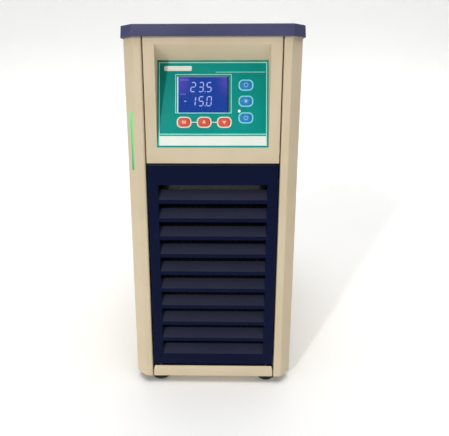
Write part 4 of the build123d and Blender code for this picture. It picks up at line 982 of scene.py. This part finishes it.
@dataclass
class ControlPanel:
    """Slanted panel: printed sheet, backlit display, lamp and six keys.

    Places are (x, s): across the panel from its middle, and up the slope from its lower edge.
    A share is of the key's lesser side, of a segment's width or of a segment's length.
    """

    margin_mm: float = 0.65
    ink_mm: float = 0.05
    sheet_mm: float = 0.5
    sheet_edge_mm: float = 0.12
    sheet_shortest_mm: float = 3.0
    rim_mm: float = 0.3
    outline: Patch = Patch(-69.6, 69.6, 2.6, 110.4)
    outline_mm: float = 1.1
    band: Patch = Patch(-68.4, 68.4, 3.7, 15.3)
    rule: Patch = Patch(-68.4, 68.4, 17.0, 18.2)
    pill: Patch = Patch(-62.7, -27.2, 99.1, 105.5)
    pill_radius_mm: float = 1.6
    strap: Patch = Patch(3.7, 66.7, 97.1, 97.8)
    window_line: Patch = Patch(-48.4, 24.1, 44.4, 94.9)
    window_line_mm: float = 0.9
    window: Patch = Patch(-46.2, 20.3, 45.5, 92.0)
    cell_depth_mm: float = 1.7
    guide_mm: float = 1.6
    # Width of the painted shadow strip along the window's right edge
    shadow_strip_mm: float = 1.7
    brow_mm: float = 0.7
    readouts: tuple[Readout, ...] = (Readout("23.5", -4.9, 78.7), Readout("-15.0", -4.9, 60.4))
    legends: tuple[Patch, ...] = (Patch(-42.6, -31.4, 87.4, 88.6), Patch(-42.6, -35.0, 69.0, 70.2))
    digit_mm: tuple[float, float] = (5.6, 11.8)
    digit_pitch_mm: float = 10.25
    digit_lean: float = 0.09
    segment_mm: float = 1.15
    segment_gap_share: float = 0.9
    segment_tip_share: float = 0.4
    minus_share: float = 0.6
    key_edge_mm: float = 0.15
    key_shortest_mm: float = 0.2
    key_corner_share: float = 0.4
    key_steps: int = 8
    key_shoulder_mm: float = 0.75
    ring_mm: float = 1.65
    ring_radius_mm: float = 6.0
    link_mm: float = 1.1
    dome_reach_mm: float = 2.4
    dome_mm: float = 0.3
    icon_mm: float = 0.12
    pictograms: Pictograms = Pictograms()
    slope: Matrix = field(init=False)

    def __post_init__(self) -> None:
        """Work out the slope's frame from the printed sheet's own faces."""
        data = NODES["control_overlay"].data
        leaning = (face for face in data.polygons if face.normal.y < 0)
        out = max(leaning, key=lambda face: face.area).normal.normalized()
        across = Vector((1, 0, 0))
        up = out.cross(across)
        spots = [vertex.co / MM for vertex in data.vertices]
        low = min(spot.dot(up) for spot in spots) - self.margin_mm
        height = max(spot.dot(out) for spot in spots) - self.rim_mm - self.sheet_mm
        zero = up * low + out * height
        self.slope = Matrix.Translation(zero) @ Matrix((across, up, out)).transposed().to_4x4()

    def place(self, mesh: bmesh.types.BMesh, rise: float, x: float = 0.0,
              s: float = 0.0) -> bmesh.types.BMesh:
        """Move a mesh made in the XY plane to its place on the slope."""
        return moved(mesh, self.slope @ Matrix.Translation((x, s, rise)))

    def crown(self, node: str) -> tuple[float, float, float, float, float]:
        """Find the outer face of a node on the slope.

        Args:
            node: A CAD node whose outer face is level with the slope.

        Returns:
            Place across, place up the slope, height over it, width and height of the face.
        """
        back = self.slope.inverted()
        spots = [back @ (vertex.co / MM) for vertex in NODES[node].data.vertices]
        rise = max(spot.z for spot in spots)
        face = [spot for spot in spots if spot.z > rise - MERGE_MM]
        left, right = min(spot.x for spot in face), max(spot.x for spot in face)
        low, high = min(spot.y for spot in face), max(spot.y for spot in face)
        return (left + right) / 2, (low + high) / 2, rise, right - left, high - low

    def build(self) -> None:
        """Build the panel from the sheet outwards."""
        soften("control_overlay", self.sheet_edge_mm, self.sheet_shortest_mm)
        dress("control_board", "board_standoffs", "tact_switches", "lcd_window", "lcd_module",
              "power_led")
        self.prints()
        self.display()
        self.figures()
        for mark in Mark:
            self.key(mark)
        self.links()

    def ink(self, name: str, finish: Finish, *faces: bmesh.types.BMesh) -> None:
        """Lay flat faces on the sheet as a thin printed layer."""
        layer = self.place(thicken(join(*faces), self.ink_mm), self.sheet_mm)
        add_piece(name, layer, finish)

    def prints(self) -> None:
        """Print the outline, the white band, the pill and the lines; the rest stays bare."""
        outline = border(self.outline.plate(), self.outline_mm)
        self.ink("panel_border", MINT_INK, outline, self.rule.plate())
        self.ink("panel_band", WHITE_INK, self.band.plate())
        self.ink("panel_pill", WHITE_INK, self.pill.plate(self.pill_radius_mm))
        self.ink("panel_strap", MINT_INK, self.strap.plate())
        self.ink("display_border", MINT_INK, border(self.window_line.plate(), self.window_line_mm))

    def display(self) -> None:
        """Light the cell and lay the guide's strip, a painted shadow strip and the brow's strip along
        its edges.
        """
        low, high = self.window.low, self.window.high
        left, right = self.window.left, self.window.right
        start, end = left + self.guide_mm, right - self.shadow_strip_mm
        strips = {
            "cell": (self.window, CELL, 0.0),
            "guide": (Patch(left, start, low, high), GUIDE, self.ink_mm),
            # Painted shadow: black strip along the window's right edge, where the frame's shadow falls
            "painted_shadow": (Patch(end, right, low, high), SHADOW_EDGE, self.ink_mm),
            "brow": (Patch(start, end, high - self.brow_mm, high), DIM_FIGURE, self.ink_mm),
        }
        for name, (patch, finish, rise) in strips.items():
            mesh = thicken(patch.plate(), self.ink_mm)
            add_piece(f"display_{name}", self.place(mesh, rise - self.cell_depth_mm), finish)

    def figures(self) -> None:
        """Set the lit figures and the dim legends on the cell."""
        bars = []
        for line in self.readouts:
            x = line.last_x
            for sign in reversed(line.text):
                if sign == ".":
                    dot = flat_plate(self.segment_mm, self.segment_mm)
                    foot = line.s - self.digit_mm[1] / 2
                    bars.append(moved(dot, x + self.digit_pitch_mm / 2, foot, 0))
                    continue
                bars.append(moved(self.figure(sign), x, line.s, 0))
                x -= self.digit_pitch_mm
        dim = [patch.plate() for patch in self.legends]
        rise = self.ink_mm - self.cell_depth_mm
        for name, faces, finish in (("figures", bars, DIGIT), ("legends", dim, DIM_FIGURE)):
            mesh = thicken(join(*faces), self.ink_mm)
            add_piece(f"display_{name}", self.place(mesh, rise), finish)

    def figure(self, sign: str) -> bmesh.types.BMesh:
        """Draw one leaning seven-segment figure.

        Args:
            sign: The digit or the minus sign.

        Returns:
            Flat faces about the figure's middle.
        """
        width, height = self.digit_mm
        bars = []
        for name in SEGMENTS[sign]:
            across, up, turn = SEGMENT_PLACES[name]
            length = (height / 2 if turn else width) - self.segment_mm * self.segment_gap_share
            if sign == "-":
                length *= self.minus_share
            bar = flat_plate(length, self.segment_mm, self.segment_mm * self.segment_tip_share, steps=1)
            spot = Matrix.Translation((across * width / 2, up * height / 2, 0))
            bars.append(moved(bar, spot @ Matrix.Rotation(math.radians(turn), 4, "Z")))
        lean = Matrix(((1, self.digit_lean, 0, 0), (0, 1, 0, 0), (0, 0, 1, 0), (0, 0, 0, 1)))
        return moved(join(*bars), lean)

    def key(self, mark: Mark) -> None:
        """Round one key, ring it with ink and raise its pictogram.

        Args:
            mark: Which key.
        """
        node = mark.value
        slot, body = SLOT_OF[node], BODY_OF[node]
        ring_ink, mark_ink = (SKY_INK, PALE_MARK) if slot == "key_blue" else (CREAM_INK, AMBER_MARK)
        x, s, rise, width, height = self.crown(node)
        soften(node, self.key_edge_mm, self.key_shortest_mm)
        corner = min(width, height) * self.key_corner_share
        dome = thicken(flat_plate(width, height, corner, self.key_steps), MERGE_MM)
        top = [face for face in dome.faces if face.normal.z > UPWARD]
        bmesh.ops.inset_region(dome, faces=top, thickness=self.dome_reach_mm, depth=self.dome_mm,
                               use_even_offset=True)
        add_piece(f"{node}_dome", self.place(dome, rise, x, s), finish_of(node), body)
        grow = (self.key_shoulder_mm + self.ring_mm) * 2
        plate = flat_plate(width + grow, height + grow, self.ring_radius_mm, self.key_steps)
        ring = thicken(border(plate, self.ring_mm), self.rim_mm + self.ink_mm)
        add_piece(f"{node}_ring", self.place(ring, self.sheet_mm, x, s), ring_ink)
        icon = self.place(thicken(self.pictograms.faces(mark), self.icon_mm), rise + self.dome_mm, x, s)
        add_piece(f"{node}_pictogram", icon, mark_ink, body)

    def links(self) -> None:
        """Join the rings of the lower keys by short lines."""
        spots = sorted(self.crown(mark.value)[:2] for mark in (Mark.SET, Mark.UP, Mark.DOWN))
        reach = self.crown(Mark.UP.value)[3] / 2 + self.key_shoulder_mm + self.ring_mm
        half = self.link_mm / 2
        lines = [Patch(here[0] + reach, there[0] - reach, here[1] - half, here[1] + half).plate()
                 for here, there in zip(spots, spots[1:])]
        self.ink("key_links", CREAM_INK, *lines)


@dataclass
class LevelGauge:
    """Green window in the left corner with the sight tube behind it."""

    edge_mm: float = 0.2
    shortest_mm: float = 0.3

    def build(self) -> None:
        """Round the lens and dress the gauge."""
        soften("level_window", self.edge_mm, self.shortest_mm)
        dress("level_tube", "level_fittings", "level_hoses")


@dataclass
class Innards:
    """Everything inside or behind the cabinet that needs only its finish."""

    def build(self) -> None:
        """Dress what no other class has dressed."""
        dress(*(node for node in NODES if node not in handled))


@dataclass(frozen=True)
class Sun:
    """Lamp that lights the whole stage evenly from one direction.

    Attributes:
        name: Name of the lamp.
        azimuth: Degrees to the right of the front, negative to the left.
        elevation: Degrees above the horizon.
        spread: Width of the lamp in degrees, which softens its shadows.
        strength: Irradiance in watts per square metre.
    """

    name: str
    azimuth: float
    elevation: float
    spread: float
    strength: float

    def hang(self) -> None:
        """Make the lamp and turn it to the object."""
        data = bpy.data.lights.new(self.name, "SUN")
        data.energy = self.strength
        data.angle = math.radians(self.spread)
        lamp = bpy.data.objects.new(self.name, data)
        turn, rise = math.radians(self.azimuth), math.radians(self.elevation)
        level = math.cos(rise)
        away = Vector((math.sin(turn) * level, -math.cos(turn) * level, math.sin(rise)))
        lamp.rotation_euler = away.to_track_quat("Z", "Y").to_euler()
        bpy.context.scene.collection.objects.link(lamp)


@dataclass
class Studio:
    """Pale floor, soft lights and the camera at the photograph's place.

    The key light comes low from the front left, and the top light whitens the floor.
    """

    lamps: tuple[Sun, ...] = (
        Sun("key_light", azimuth=-30, elevation=22, spread=4, strength=1.24),
        Sun("top_light", azimuth=10, elevation=84, spread=50, strength=2.2))
    fill_strength: float = 0.19
    paper_reach_mm: float = 3000.0
    paper_rise_mm: float = 4000.0
    paper_sweep_mm: float = 900.0
    sweep_steps: int = 24
    eye_mm: tuple[float, float, float] = (9.65, -775.65, 419.88)
    pitch_degrees: float = 13.25
    yaw_degrees: float = -0.94
    roll_degrees: float = 0.08
    picture: tuple[float, float] = (449.0, 436.0)
    focal_pixels: float = 437.0
    centre_pixels: tuple[float, float] = (213.0, 192.15)
    sensor_mm: float = 36.0

    def build(self) -> None:
        """Set the stage, the lights and the camera."""
        self.backdrop()
        self.lights()
        self.camera()

    def backdrop(self) -> None:
        """Lay a sheet of paper that curves up behind the object."""
        mesh = bmesh.new()
        bmesh.ops.create_grid(mesh, x_segments=1, y_segments=1, size=self.paper_reach_mm)
        rear = [edge for edge in mesh.edges if all(vertex.co.y > 0 for vertex in edge.verts)]
        made = bmesh.ops.extrude_edge_only(mesh, edges=rear)
        lifted = [item for item in made["geom"] if isinstance(item, bmesh.types.BMVert)]
        bmesh.ops.translate(mesh, vec=(0, 0, self.paper_rise_mm), verts=lifted)
        bevel_edges(mesh, rear, self.paper_sweep_mm, segments=self.sweep_steps)
        make_object("backdrop", mesh, STUDIO_PAPER)

    def lights(self) -> None:
        """Hang the lamps and let the white surroundings fill the shadows."""
        for lamp in self.lamps:
            lamp.hang()
        world = bpy.data.worlds.new("studio")
        world.use_nodes = True
        background = world.node_tree.nodes["Background"]
        background.inputs["Color"].default_value = linear("#FFFFFF")
        background.inputs["Strength"].default_value = self.fill_strength
        bpy.context.scene.world = world

    def camera(self) -> None:
        """Put the camera where the photograph was taken from."""
        data = bpy.data.cameras.new("camera")
        width, height = self.picture
        data.sensor_width = self.sensor_mm
        data.lens = self.focal_pixels / width * self.sensor_mm
        data.shift_x = (width / 2 - self.centre_pixels[0]) / width
        data.shift_y = (self.centre_pixels[1] - height / 2) / width
        camera = bpy.data.objects.new("camera", data)
        camera.location = Vector(self.eye_mm) * MM
        camera.rotation_euler = (
            math.radians(90 - self.pitch_degrees), math.radians(self.roll_degrees),
            math.radians(-self.yaw_degrees))
        bpy.context.scene.collection.objects.link(camera)
        bpy.context.scene.camera = camera
        bpy.context.scene.view_settings.view_transform = "Standard"


def main() -> None:
    """Build the sub-assemblies in order and report each piece."""
    logging.basicConfig(level=logging.INFO, format="%(name)s: %(message)s")
    for assembly in (Cabinet(), Lid(), Grille(), ControlPanel(), LevelGauge(), Innards(), Studio()):
        assembly.build()


if __name__ == "__main__":
    main()
